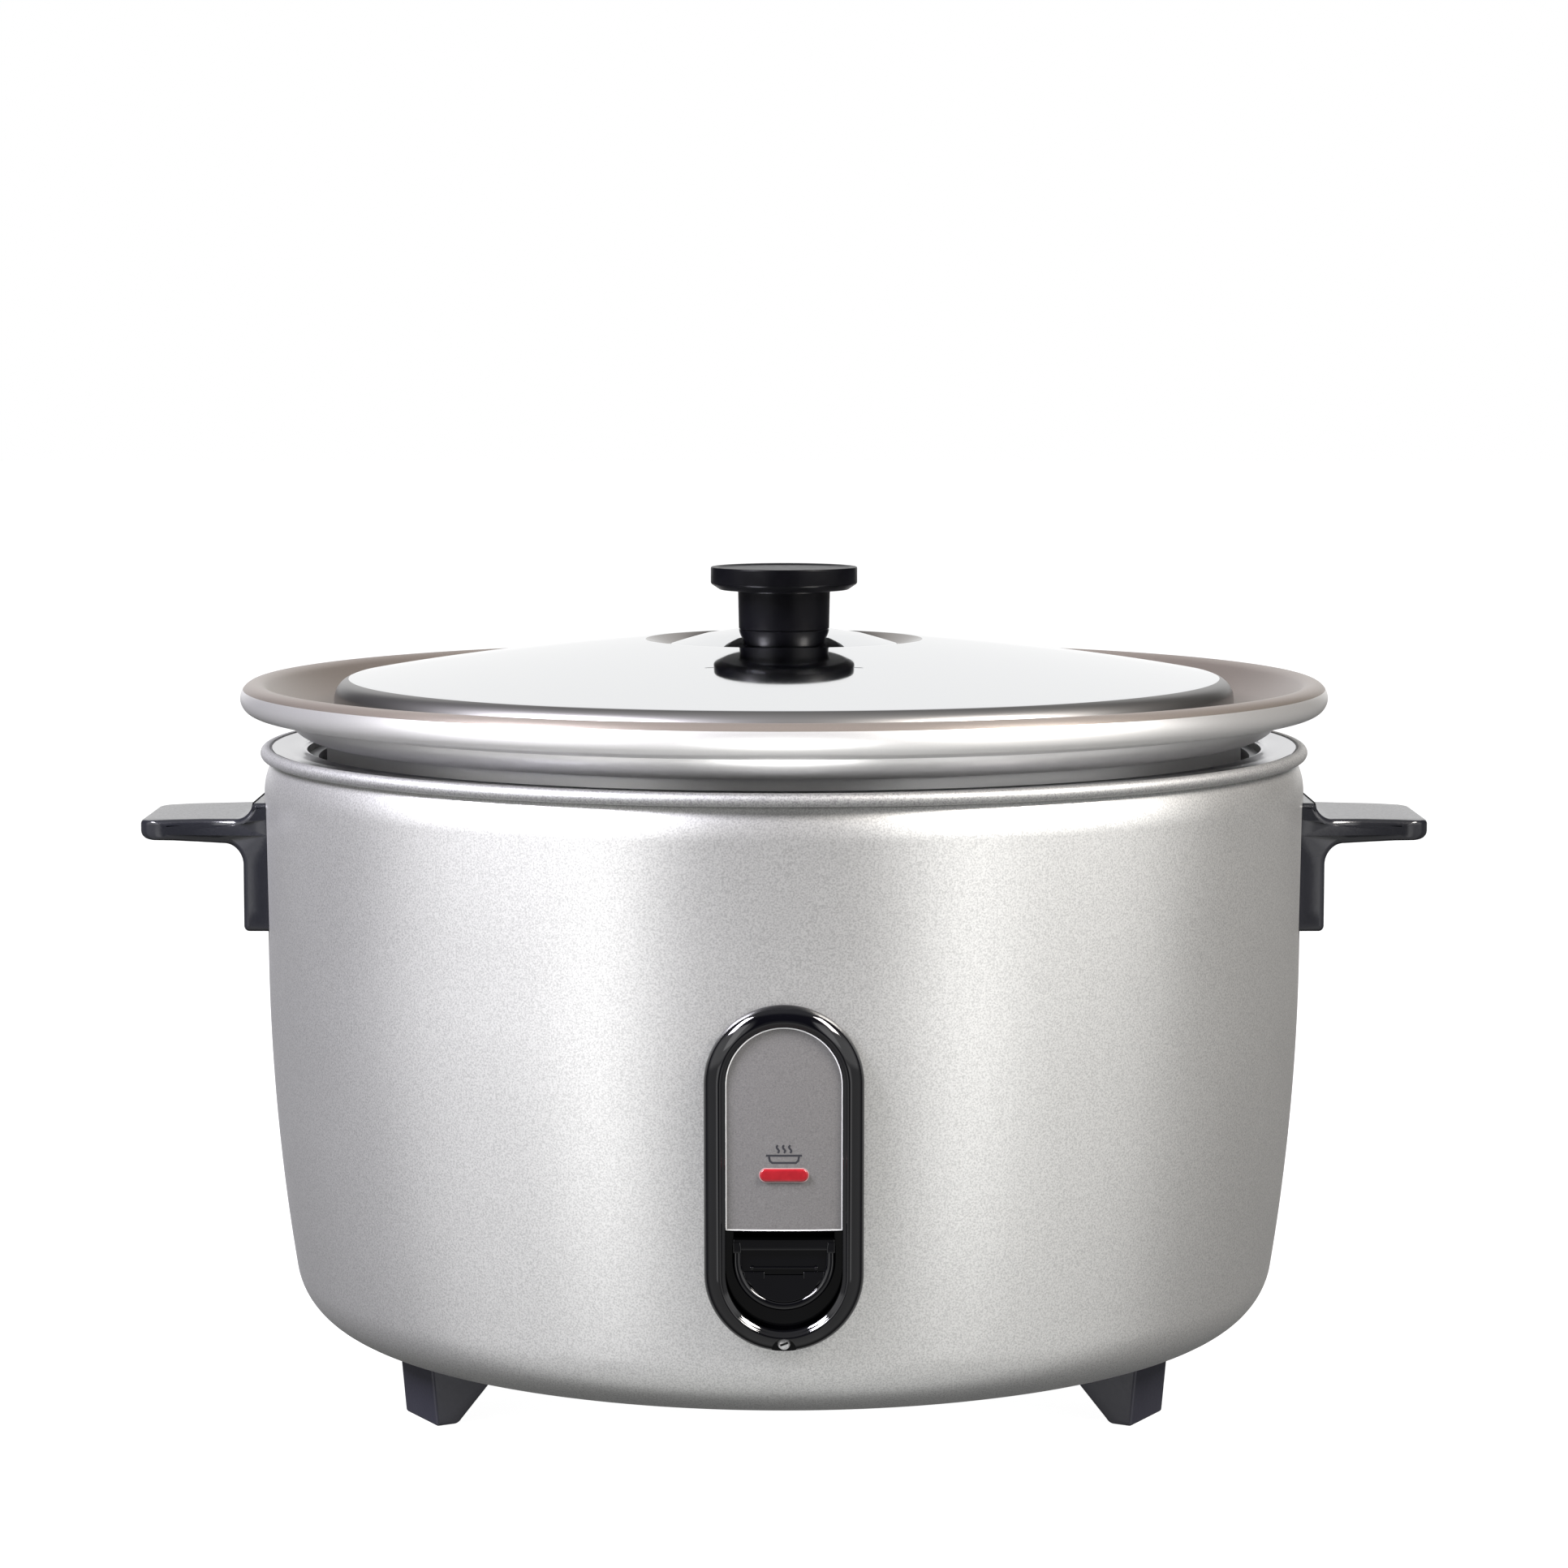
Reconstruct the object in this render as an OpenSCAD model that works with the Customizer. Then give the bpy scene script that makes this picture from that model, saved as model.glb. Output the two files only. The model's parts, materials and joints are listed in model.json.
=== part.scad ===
// Large drop-in rice cooker: painted body, lift-out pan, polished lid, cook lever and magnetic thermostat.
// Millimetres. Z = 0 is the surface the feet stand on, the Z axis is the body's axis, the lever faces -Y.

/* [Body] */
// Widest radius of the painted body
body_r = 216.4; // [208:0.2:230]
// Height of the painted body above its underside
body_h = 235.5; // [228:0.5:250]
// Thickness of the body's sheet
shell_t = 1.2; // [0.8:0.1:1.6]
// Height of the feet
foot_h = 27.5; // [22:0.5:32]
// Tangential width of one foot
foot_w = 30; // [22:1:36]

/* [Handles] */
// Reach of a handle's ledge beyond the body
handle_reach = 50; // [42:1:54]
// Width of a handle's ledge
handle_w = 68; // [60:1:76]

/* [Pan and lid] */
// Thickness of the pan's sheet
pan_t = 2; // [1.6:0.1:2.4]
// Radius of the rolled bead on the pan's rim
bead_r = 6.3; // [5.5:0.1:6.6]
// Thickness of the lid's sheet
lid_t = 1; // [0.7:0.1:1.2]
// Slope of the lid at its shoulder, in degrees
lid_slope = 9.3; // [8:0.1:10]
// Radius of the knob's cap
knob_r = 30.6; // [26:0.2:34]

/* [Switch] */
// Width of the switch bezel
bezel_w = 60; // [58:0.5:62]
// Height of the bezel's crest above the body
bezel_proud = 6; // [5:0.25:7]
// Width of the cook lever
lever_w = 38.8; // [36:0.2:39.2]

/* [Hidden] */
$fn = 96;

steps = 10;          // segments in a profile's arc
fit = 0.1;           // radial gap between a screw or bush and its hole
eps = 0.01;          // overlap that makes two pieces of one solid meet
feet_angles = [-60, 60, 180];     // from the front, seen from above
plate_screw_angles = [0, 120, 240];
base_screw_r = 155;               // circle of the screws in the bottom
base_shank_r = 1.8;
base_head_r = 3.6;

// Levels
z_under = foot_h;                 // underside of the body
z_top = z_under + body_h;         // top edge of the painted body
z_seat = z_under + 52.5;          // heater's face, where the pan sits
z_floor = z_under + 29.5;         // liner's floor
z_pivot = z_under + 17.5;         // lever arm's pivot
z_bead = z_top + 25.8;            // middle of the pan's rolled bead
z_plate = z_under + 2.4;          // upper face of the bottom plate

// Body outline
corner_r = 28.5;
lean = 8.8;                       // tilt of the wall where it meets the corner
side_r = 890;
wall_r = body_r - 0.9;            // radius where the side becomes upright
corner_x = wall_r - side_r * (1 - cos(lean)) - corner_r * cos(lean);
corner_z = z_under + corner_r;
side_z = corner_z - corner_r * sin(lean) + side_r * sin(lean);
shoulder_r = 26.6;
shoulder_turn = 29.3;
shoulder_z = z_top - shoulder_r * sin(shoulder_turn);
flange_in = 12.4;                 // width of the body's turned-in top edge
hem_r = 150;                      // inner edge of the body's turned-in bottom

// Liner and pan
pan_r = body_r - 25.9;
liner_r = pan_r + 3.5;
liner_t = 1;
liner_corner = 44;
liner_hole_r = 98;
pan_corner = 35;
neck_r = 9;                       // outer radius of the flare below the rim
neck_x = pan_r + neck_r;
neck_z = z_top + 3.3;
bead_x = body_r + 3.3;
neck_end = 115;                   // where the inner flare meets the flange
bead_end = 140;                   // where the flange meets the bead
under_end = -110;                 // where the underside meets the bead

// Lid
skirt_r = pan_r - 3.1;
skirt_z = z_top + 24.6;           // where the shoulder starts
shoulder_lid_r = 9;
dome_r = 1600;                    // crown of the lid's slope
well_r = 58.4;
well_depth = 3.6;
boss_r = 47.7;
boss_edge = 1.8;                  // the boss's edge below the well's rim
boss_rise = 4;                    // the knob's seat above the well's rim
stem_r = 18.9;
stem_flare = 0.4;
foot_bead_r = 1.2;
foot_bead_x = pan_r - 1.5;
foot_bead_z = z_top + 10.1;
slope_x = skirt_r - shoulder_lid_r * (1 - sin(lid_slope));
slope_z = skirt_z + shoulder_lid_r * cos(lid_slope);
dome_x = slope_x - dome_r * sin(lid_slope);
dome_z = slope_z - dome_r * cos(lid_slope);
rim_slope = asin((well_r - dome_x) / dome_r);
well_z = dome_z + dome_r * cos(rim_slope);
z_boss = well_z + boss_rise;      // underside of the knob's stem
cap_h = 7;
cap_chamfer = 2.5;
z_cap = z_boss + 26;              // top of the knob
vent_r = 106;
vent_angle = 16;

// Handles, in a handle's own upright section
ledge_x = body_r + handle_reach;
ledge_z = z_top - 24.6;           // upper face at the outer end
ledge_t = 8.2;
leg_x = body_r + 6.4;
leg_low = z_top - 70;
root_x = body_r + 2;
root_high = z_top - 16.8;
ledge_rise = 0.9;
under_fillet = 8.4;
handle_bolts = [[-16, z_top - 28.5, 20], [16, z_top - 28.5, 20], [0, z_top - 58, 4.6]];
bolt_r = 2;
backing_x = body_r - 5.6;

// Switch, heights measured from the body's underside
bezel_low = z_under + 29.5;
bezel_high = z_under + 162.5;
pocket_w = 43.9;
pocket_low = z_under + 36.5;
pocket_high = z_under + 76.5;
label_high = z_under + 154.5;
label_sink = 3.3;                 // label's floor below the bezel's crest
label_t = 0.8;
pocket_wall = 2;
pocket_back = 203.5;              // distance of the pocket's back face from the axis
back_t = 1.5;
slot_w = 14;
slot_low = z_under + 47.4;
slot_high = z_under + 67.5;
neck_high = slot_high - 1.5;      // top of the lever's neck
lamp_z = z_under + 98.5;
lamp_w = 18.1;
lamp_h = 4.8;
bezel_screw_z = z_under + 32.6;
bezel_shank_r = 1.5;
notch_r = 4.6;                    // notch for the screw in the bezel's foot
notch_z = bezel_screw_z - 1.8;    // centre of the notch
screw_seat = 207.6;               // distance of the notch's floor from the axis

// Lever and thermostat
pivot_y = -70;
pin_r = 2;
pin_gap = 0.05;
arm_w = 12;
arm_t = 2;
lever_low = z_under + 45.8;
lever_high = z_under + 73.4;
lever_front = 212.5;              // distance of the lever's face from the axis
lever_t = 5;
neck_w = 11;
arm_up_y = 198;                   // distance of the arm's upright strip from the axis
bracket_x = 8;
bracket_bolt_x = 22;
bracket_shank_r = 1.6;
lug_x = 27;                       // screws in the thermostat housing's lugs
lug_shank_r = 1.5;
sheet_t = 1.5;
rod_r = 3;
magnet_r = 11.4;
magnet_low = z_under + 31.2;
magnet_h = 9.3;
ferrite_r = 15;
ferrite_low = z_under + 46;
cap_r = 20;
cap_wall = 1;
spring_wire = 1.4;
housing_h = 10.5;

// Heater and electrical parts
heater_r = 120;
heater_shank_r = 2;
element_r = 85;
tube_r = 4.2;
spacer_r = 110;
lead_angles = [70, 110];          // the element's two ends, from +X
foot_out = 170;                   // radius of a foot's outer face at its pad
gland_z = z_under + 32.5;
gland_bore = 4.6;
gland_out = 218;
gland_in = 198;
block_y = 130;

// ---- geometry helpers ----
function arc(cx, cz, r, a0, a1, n = steps) =
    [for (i = [0:n]) [cx + r * cos(a0 + (a1 - a0) * i / n), cz + r * sin(a0 + (a1 - a0) * i / n)]];
function unit(v) = v / norm(v);
function left(v) = [-v[1], v[0]];
function edge_dir(p, i) = unit(p[i + 1] - p[i]);
function shifted(p, i, t) =
    let (last = len(p) - 1,
         a = edge_dir(p, max(i - 1, 0)),
         b = edge_dir(p, min(i, last - 1)),
         n = unit(left(a) + left(b)))
    p[i] + n * t / (n * left(a));
// Closed outline of a sheet of thickness t on the left of a path.
function sheet(p, t) = concat(p, [for (i = [len(p) - 1:-1:0]) shifted(p, i, t)]);
function dir(a) = [cos(a), sin(a)];
function cross2(a, b) = a[0] * b[1] - a[1] * b[0];
// Where the line from p along angle a meets the line through q along angle b.
function meet(p, a, q, b) = p + dir(a) * cross2(q - p, dir(b)) / cross2(dir(a), dir(b));
function curve(p, c, q, n = steps) =
    [for (i = [0:n]) let (t = i / n) p * (1 - t) * (1 - t) + c * 2 * t * (1 - t) + q * t * t];

// Body's outer outline from the hem to the top edge, moved outwards by d.
function body_side(d = 0) = concat(
    arc(corner_x, corner_z, corner_r + d, -90, -lean),
    arc(wall_r - side_r, side_z, side_r + d, -lean, 0),
    arc(body_r - shoulder_r, shoulder_z, shoulder_r + d, 0, shoulder_turn));
function body_band(d) = concat([[hem_r, z_under - d]], body_side(d), [[hem_r, z_top]]);

module spin(points, angle = 360) {
    rotate_extrude(angle = angle, $fn = 180) polygon(points);
}
module body_solid(d = 0) {
    spin(body_band(d));
}
// Upright outline of a stadium, or of its lower or upper half, cut through the body's front.
module stadium(w, low, high, round_low = true, round_high = true) {
    r = w / 2;
    bottom = round_low ? low + r : low;
    top = round_high ? high - r : high;
    intersection() {
        translate([-r, low]) square([w, high - low]);
        union() {
            translate([-r, bottom]) square([w, top - bottom]);
            if (round_low) translate([0, bottom]) circle(r);
            if (round_high) translate([0, top]) circle(r);
        }
    }
}
module lower_pocket(w, low, high) {
    stadium(w, low, high, round_high = false);
}
module lamp_hole(gap) {
    translate([-lamp_w / 2 - gap, lamp_z - lamp_h / 2 - gap]) square([lamp_w + 2 * gap, lamp_h + 2 * gap]);
}
module to_front(near, far) {
    translate([0, -near, 0]) rotate([90, 0, 0]) linear_extrude(far - near) children();
}
module ring(r_out, r_in, h) {
    difference() {
        cylinder(r = r_out, h = h);
        translate([0, 0, -1]) cylinder(r = r_in, h = h + 2);
    }
}
module pan_head(head_r, head_h) {
    rotate_extrude() polygon([[0, 0], [head_r, 0], [head_r, head_h * 0.4], [head_r * 0.7, head_h * 0.85],
        [head_r * 0.3, head_h], [0, head_h]]);
}
// Screw along +Z: the head's bearing face is at Z = 0, the shank runs down.
module screw(shank_r, shank_l, head_r, head_h) {
    difference() {
        union() {
            pan_head(head_r, head_h);
            translate([0, 0, -shank_l]) cylinder(r = shank_r, h = shank_l + eps);
            translate([0, 0, -shank_l - shank_r]) cylinder(r1 = shank_r * 0.3, r2 = shank_r, h = shank_r);
        }
        for (a = [0, 90])
            rotate([0, 0, a]) translate([-head_r * 0.55, -head_r * 0.13, head_h * 0.45])
                cube([head_r * 1.1, head_r * 0.26, head_h]);
    }
}
// Places children at a radius and an angle from the front, seen from above.
module around(a, r, z) {
    rotate([0, 0, a]) translate([0, -r, z]) children();
}
module coil(r, wire_r, z0, z1, turns) {
    sides = 8;
    per_turn = 20;
    n = turns * per_turn;
    pts = [for (i = [0:n]) for (j = [0:sides - 1])
        let (a = 360 * i / per_turn, b = 360 * j / sides, q = r + wire_r * cos(b))
        [q * cos(a), q * sin(a), z0 + wire_r + (z1 - z0 - 2 * wire_r) * i / n + wire_r * sin(b)]];
    walls = [for (i = [0:n - 1]) for (j = [0:sides - 1])
        let (k = (j + 1) % sides)
        [i * sides + j, (i + 1) * sides + j, (i + 1) * sides + k, i * sides + k]];
    polyhedron(pts, concat(walls, [[for (j = [0:sides - 1]) j]],
        [[for (j = [sides - 1:-1:0]) n * sides + j]]));
}
// Round wire swept along a route of points, with its ends square to the route.
module wire(route, r) {
    sides = 8;
    n = len(route) - 1;
    function along(i) = unit(route[min(i + 1, n)] - route[max(i - 1, 0)]);
    function side(i) = unit(cross(along(i), abs(along(i)[2]) > 0.9 ? [0, 1, 0] : [0, 0, 1]));
    pts = [for (i = [0:n]) for (j = [0:sides - 1])
        let (u = side(i), v = cross(along(i), u), b = 360 * j / sides)
        route[i] + r * (u * cos(b) + v * sin(b))];
    walls = [for (i = [0:n - 1]) for (j = [0:sides - 1])
        let (k = (j + 1) % sides)
        [i * sides + j, i * sides + k, (i + 1) * sides + k, (i + 1) * sides + j]];
    polyhedron(pts, concat(walls, [[for (j = [sides - 1:-1:0]) j]],
        [[for (j = [0:sides - 1]) n * sides + j]]));
}

// Holes for the screws in the bottom, the switch bracket and the handles.
module base_holes(z) {
    for (a = concat(plate_screw_angles, feet_angles))
        around(a, base_screw_r, z - 5) cylinder(r = base_shank_r + fit, h = 10);
}
module bracket_holes(z) {
    for (x = [-bracket_bolt_x, bracket_bolt_x])
        translate([x, pivot_y, z - 5]) cylinder(r = bracket_shank_r + fit, h = 10);
}
module bolt_holes(x) {
    for (b = handle_bolts) translate([x, b[0], b[1]]) rotate([0, 90, 0]) cylinder(r = bolt_r + fit, h = 20);
}

// ---- body ----
module outer_shell() {
    inner = body_r - shoulder_r * (1 - cos(shoulder_turn)) - flange_in + 3;
    path = concat([[hem_r, z_under]], body_side(), [[inner, z_top]]);
    color([0.72, 0.72, 0.70]) difference() {
        spin(sheet(path, shell_t));
        to_front(190, 230)
            lower_pocket(pocket_w + 2 * pocket_wall + 1, pocket_low - pocket_wall - 0.5,
                pocket_high + pocket_wall + 0.5);
        to_front(190, 230) lamp_hole(1);
        to_front(190, 230) translate([0, bezel_screw_z]) circle(bezel_shank_r + fit);
        for (m = [0, 1]) mirror([m, 0, 0]) bolt_holes(backing_x);
        translate([0, gland_in - 5, gland_z]) rotate([-90, 0, 0]) cylinder(r = 8 + fit, h = 40);
        base_holes(z_under);
    }
}
module top_ring() {
    edge = body_r + 1.5;
    color([0.70, 0.70, 0.69]) spin(concat(
        [[body_r - 4, z_top + 0.02], [body_r - 0.2, z_top + 0.2]],
        arc(edge - 2.7, z_top + 3, 2.7, -70, 85, 8),
        [[body_r - 15, z_top + 4.4]],
        arc(body_r - 16.5, z_top + 2.9, 1.5, 85, 180, 6),
        [[body_r - 18, z_top + 1 + fit], [body_r - 5, z_top + 1 + fit]]));
}
module inner_liner() {
    path = concat([[liner_hole_r, z_floor]],
        arc(liner_r - liner_corner, z_floor + liner_corner, liner_corner, -90, 0),
        [[liner_r, z_top + 1], [body_r - 6.4, z_top + 1]]);
    color([0.75, 0.76, 0.76]) difference() {
        spin(sheet(path, -liner_t));
        for (a = plate_screw_angles)
            around(a + 60, spacer_r, z_floor - 5) cylinder(r = heater_shank_r + fit, h = 10);
    }
}
module bottom_plate() {
    color([0.62, 0.63, 0.64]) difference() {
        translate([0, 0, z_plate - 1.2]) cylinder(r = hem_r + 10, h = 1.2);
        for (i = [0:17]) rotate([0, 0, i * 20 + 10]) for (r = [100, 128])
            translate([r, -1.6, z_plate - 3]) cube([20, 3.2, 5]);
        base_holes(z_plate);
        bracket_holes(z_plate);
        translate([34, block_y + 8, z_plate - 5]) cylinder(r = base_shank_r + fit, h = 10);
    }
}
module bottom_screws() {
    color([0.75, 0.75, 0.75]) for (a = plate_screw_angles)
        around(a, base_screw_r, z_under) mirror([0, 0, 1]) screw(base_shank_r, 6, base_head_r, 2.2);
}
// Wedge-shaped foot with a small pad, its outer face square to the radius.
module foot(a) {
    out = foot_out;
    profile = concat([[out + 2.5, z_under], [135, z_under], [147, z_under * 0.5]],
        arc(162, 4, 4, 215, 270, 5), arc(out - 1.2, 1.2, 1.2, 270, 355, 4));
    color([0.10, 0.10, 0.12]) rotate([0, 0, a]) difference() {
        intersection() {
            rotate([90, 0, -90]) translate([0, 0, -foot_w / 2]) linear_extrude(foot_w) polygon(profile);
            translate([0, -foot_out - 2.6, -1]) linear_extrude(z_under + 2) foot_plan();
        }
        translate([0, -base_screw_r, z_under - 12]) cylinder(r = base_shank_r + fit, h = 13);
    }
}
module foot_plan() {
    r = 3;
    depth = 60;
    for (x = [-1, 1]) translate([x * (foot_w / 2 - r), r]) circle(r);
    translate([-foot_w / 2 + r, 0]) square([foot_w - 2 * r, depth]);
    translate([-foot_w / 2, r]) square([foot_w, depth - r]);
}
module foot_front_left() foot(feet_angles[0]);
module foot_front_right() foot(feet_angles[1]);
module foot_rear() foot(feet_angles[2]);
module foot_screws() {
    color([0.75, 0.75, 0.75]) for (a = feet_angles)
        around(a, base_screw_r, z_plate) screw(base_shank_r, 11, base_head_r, 2.2);
}

// ---- handles ----
module handle_section() {
    tip = ledge_x;
    polygon(concat(
        [[body_r - 10, leg_low]],
        arc(leg_x - 2.7, leg_low + 2, 2, -90, 0, 5),
        arc(leg_x + under_fillet, ledge_z - ledge_t - 1.2 - under_fillet, under_fillet, 180, 96, 6),
        arc(tip - 3, ledge_z - ledge_t + 3, 3, -80, 0, 5),
        arc(tip - 2, ledge_z - 2, 2, 0, 85, 5),
        arc(root_x + 8, ledge_z + ledge_rise + 8, 8, 275, 190, 6),
        arc(root_x - 1.2, root_high - 1.2, 1.2, 0, 90, 4),
        [[body_r - 10, root_high]]));
}
module handle_plan() {
    half = handle_w / 2;
    r = 10;
    flare = 5;
    for (s = [-1, 1]) translate([ledge_x - r, s * (half - r)]) circle(r);
    polygon([[body_r - 14, -half - flare], [body_r + 3, -half - flare], [body_r + 14, -half],
        [ledge_x - r, -half], [ledge_x, r - half], [ledge_x, half - r], [ledge_x - r, half],
        [body_r + 14, half], [body_r + 3, half + flare], [body_r - 14, half + flare]]);
}
module handle() {
    color([0.13, 0.13, 0.15]) difference() {
        intersection() {
            rotate([90, 0, 0]) translate([0, 0, -60]) linear_extrude(120) handle_section();
            linear_extrude(z_top) handle_plan();
        }
        body_solid();
        for (b = handle_bolts) translate([backing_x, b[0], b[1]]) rotate([0, 90, 0])
            cylinder(r = bolt_r + fit, h = body_r - backing_x + b[2] + 0.5);
    }
}
module handle_left() mirror([1, 0, 0]) handle();
module handle_right() handle();
module handle_backing_plates() {
    color([0.6, 0.6, 0.6]) for (m = [0, 1]) mirror([m, 0, 0]) difference() {
        translate([backing_x, -22, z_top - 66]) cube([2, 44, 46]);
        bolt_holes(backing_x - 5);
    }
}
module handle_screws() {
    color([0.75, 0.75, 0.75]) for (m = [0, 1]) mirror([m, 0, 0]) for (b = handle_bolts)
        translate([backing_x, b[0], b[1]]) rotate([0, -90, 0])
            screw(bolt_r, body_r - backing_x + b[2] - bolt_r, 4.2, 2.8);
}

// ---- heater ----
module heater_plate() {
    low = z_floor + 5;
    rib = z_floor + 15;
    color([0.66, 0.66, 0.66]) difference() {
        spin(concat([[22, z_seat], [22, low], [36, low], [38, z_seat - 10], [70, z_seat - 10], [73, low],
            [97, low], [100, rib], [heater_r - 2, rib], [heater_r, rib + 2]],
            arc(heater_r - 3, z_seat - 3, 3, 0, 90, 5)));
        translate([0, 0, low]) rotate_extrude($fn = 96)
            translate([element_r, 0]) circle(tube_r + fit, $fn = 32);
        for (a = plate_screw_angles)
            around(a + 60, spacer_r, rib - 1) cylinder(r = heater_shank_r + fit, h = 6);
        for (x = [-lug_x, lug_x]) translate([x, 0, low - 1]) cylinder(r = lug_shank_r + fit, h = 7);
    }
}
module heater_element() {
    low = z_floor + 5;
    gap = 90 - lead_angles[0];
    color([0.45, 0.45, 0.46]) translate([0, 0, low]) {
        rotate([0, 0, 90 + gap]) rotate_extrude(angle = 360 - 2 * gap, $fn = 96)
            translate([element_r, 0]) circle(tube_r, $fn = 32);
        for (a = lead_angles) rotate([0, 0, a]) translate([element_r, 0, 0]) {
            sphere(tube_r, $fn = 32);
            translate([0, 0, -14]) cylinder(r = tube_r, h = 14);
        }
    }
}
module heater_terminals() {
    color([0.92, 0.90, 0.85]) for (a = lead_angles)
        rotate([0, 0, a]) translate([element_r, 0, z_floor - 9]) {
            translate([0, 0, -5]) cylinder(r = 5, h = 5 - 0.001);
            translate([0, 0, -12]) cylinder(r = 1.8, h = 8);
        }
}
module heater_spacers() {
    color([0.9, 0.9, 0.86]) for (a = plate_screw_angles)
        around(a + 60, spacer_r, z_floor) ring(6, heater_shank_r + fit, 15);
}
module heater_screws() {
    color([0.75, 0.75, 0.75]) for (a = plate_screw_angles)
        around(a + 60, spacer_r, z_floor - liner_t) mirror([0, 0, 1]) screw(heater_shank_r, 18, 4, 2.6);
}

// ---- thermostat ----
module thermostat_housing() {
    top = z_floor + 5;
    color([0.70, 0.71, 0.72]) difference() {
        union() {
            translate([0, 0, top - housing_h]) cylinder(r = 22.5, h = housing_h);
            translate([-32, -6, top - 1.5]) cube([64, 12, 1.5]);
        }
        translate([0, 0, top - housing_h + sheet_t]) cylinder(r = 21, h = housing_h);
        translate([0, 0, top - housing_h - 1]) cylinder(r = 7, h = 4);
        for (x = [-lug_x, lug_x]) translate([x, 0, top - 3]) cylinder(r = lug_shank_r + fit, h = 5);
    }
}
module thermostat_screws() {
    color([0.75, 0.75, 0.75]) for (x = [-lug_x, lug_x])
        translate([x, 0, z_floor + 3.5]) mirror([0, 0, 1]) screw(lug_shank_r, 5, 2.8, 1.8);
}
module sensor_cap() {
    color([0.78, 0.78, 0.78]) spin([[0, z_seat - 0.1], [cap_r - 2, z_seat - 0.1], [cap_r, z_seat - 1.2],
        [cap_r, z_seat - 14], [cap_r - cap_wall, z_seat - 14], [cap_r - cap_wall, z_seat - 1.8],
        [cap_r - 2.4, z_seat - 1.1], [0, z_seat - 1.1]]);
}
module ferrite_disc() {
    color([0.22, 0.22, 0.24]) translate([0, 0, ferrite_low])
        cylinder(r = ferrite_r, h = z_seat - 1.1 - ferrite_low);
}
module sensor_spring() {
    color([0.8, 0.8, 0.8]) coil(17.3, spring_wire / 2, z_floor + 5.2 - housing_h + sheet_t, z_seat - 1.3, 5);
}
module magnet_holder() {
    flange = magnet_low - 1.2;
    color([0.72, 0.72, 0.72]) union() {
        translate([0, 0, flange]) cylinder(r = 14.3, h = 1.2);
        translate([0, 0, magnet_low - eps]) ring(magnet_r + 1, magnet_r + fit, 7);
        translate([0, 0, z_pivot - 7]) cylinder(r = rod_r, h = flange - z_pivot + 7 + eps);
        translate([0, 0, z_pivot + 1.5]) cylinder(r = 6, h = 2);
        translate([0, 0, z_pivot - 7]) cylinder(r = 5.5, h = 2);
    }
}
module magnet() {
    color([0.25, 0.25, 0.27]) translate([0, 0, magnet_low]) cylinder(r = magnet_r, h = magnet_h);
}
module return_spring() {
    color([0.8, 0.8, 0.8]) coil(13.4, 0.5, magnet_low + 0.02, ferrite_low - 0.02, 5);
}

// ---- lever ----
module switch_bracket() {
    color([0.70, 0.71, 0.72]) difference() {
        union() {
            translate([-32, pivot_y - 12, z_plate]) cube([64, 24, sheet_t]);
            for (s = [-1, 1]) translate([s * (bracket_x + sheet_t / 2) - sheet_t / 2, pivot_y - 9, z_plate])
                cube([sheet_t, 18, z_pivot - z_plate + 5]);
        }
        translate([-20, pivot_y, z_pivot]) rotate([0, 90, 0]) cylinder(r = pin_r, h = 40);
        bracket_holes(z_plate);
    }
}
module bracket_screws() {
    color([0.75, 0.75, 0.75]) for (x = [-bracket_bolt_x, bracket_bolt_x])
        translate([x, pivot_y, z_plate + sheet_t]) screw(bracket_shank_r, 5, 3, 2);
}
module lever_pivot_pin() {
    color([0.8, 0.8, 0.8]) translate([-12, pivot_y, z_pivot]) rotate([0, 90, 0]) cylinder(r = pin_r, h = 24);
}
module lever_arm() {
    slant_top = z_pivot + 17;
    color([0.74, 0.75, 0.76]) difference() {
        union() {
            translate([-arm_w / 2, 0, 0]) rotate([90, 0, 90]) linear_extrude(arm_w) polygon([
                [12, z_pivot - arm_t / 2], [12, z_pivot + arm_t / 2], [-178, z_pivot + arm_t / 2],
                [2 - arm_up_y, slant_top], [2 - arm_up_y, neck_high], [-arm_up_y, neck_high],
                [-arm_up_y, slant_top - 1], [-180, z_pivot - arm_t / 2]]);
            translate([-7.5, pivot_y, z_pivot]) rotate([0, 90, 0]) cylinder(r = 4.5, h = 15);
        }
        translate([-10, pivot_y, z_pivot]) rotate([0, 90, 0]) cylinder(r = pin_r + pin_gap, h = 20);
        translate([-rod_r - 0.6, -rod_r - 0.6, z_pivot - 3]) cube([2 * rod_r + 1.2, 30, 6]);
    }
}
module cook_lever() {
    r = lever_w / 2;
    color([0.06, 0.06, 0.07]) union() {
        difference() {
            to_front(lever_front - lever_t, lever_front)
                stadium(lever_w, lever_low, lever_high, round_high = false);
            to_front(lever_front - 1.6, lever_front + 1) translate([-12, lever_high - 14]) square([24, 8]);
            translate([-r - 1, -lever_front - 0.6, lever_low - 1]) rotate([-14, 0, 0]) translate([0, -4, 0])
                cube([lever_w + 2, 4, 14]);
        }
        to_front(arm_up_y, lever_front - lever_t + 1)
            translate([-neck_w / 2, neck_high - 10]) square([neck_w, 10]);
    }
}
module microswitch() {
    color([0.12, 0.12, 0.13]) difference() {
        translate([-3.2, pivot_y - 35, z_plate]) cube([6.4, 20, 9.6]);
        translate([-1.6, pivot_y - 26.6, z_plate + 7.6]) cube([3.2, 3.2, 3]);
    }
}
module microswitch_button() {
    color([0.75, 0.12, 0.10]) translate([-1.5, pivot_y - 26.5, z_plate + 9.2])
        cube([3, 3, z_pivot - z_plate - 10.3]);
}

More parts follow.
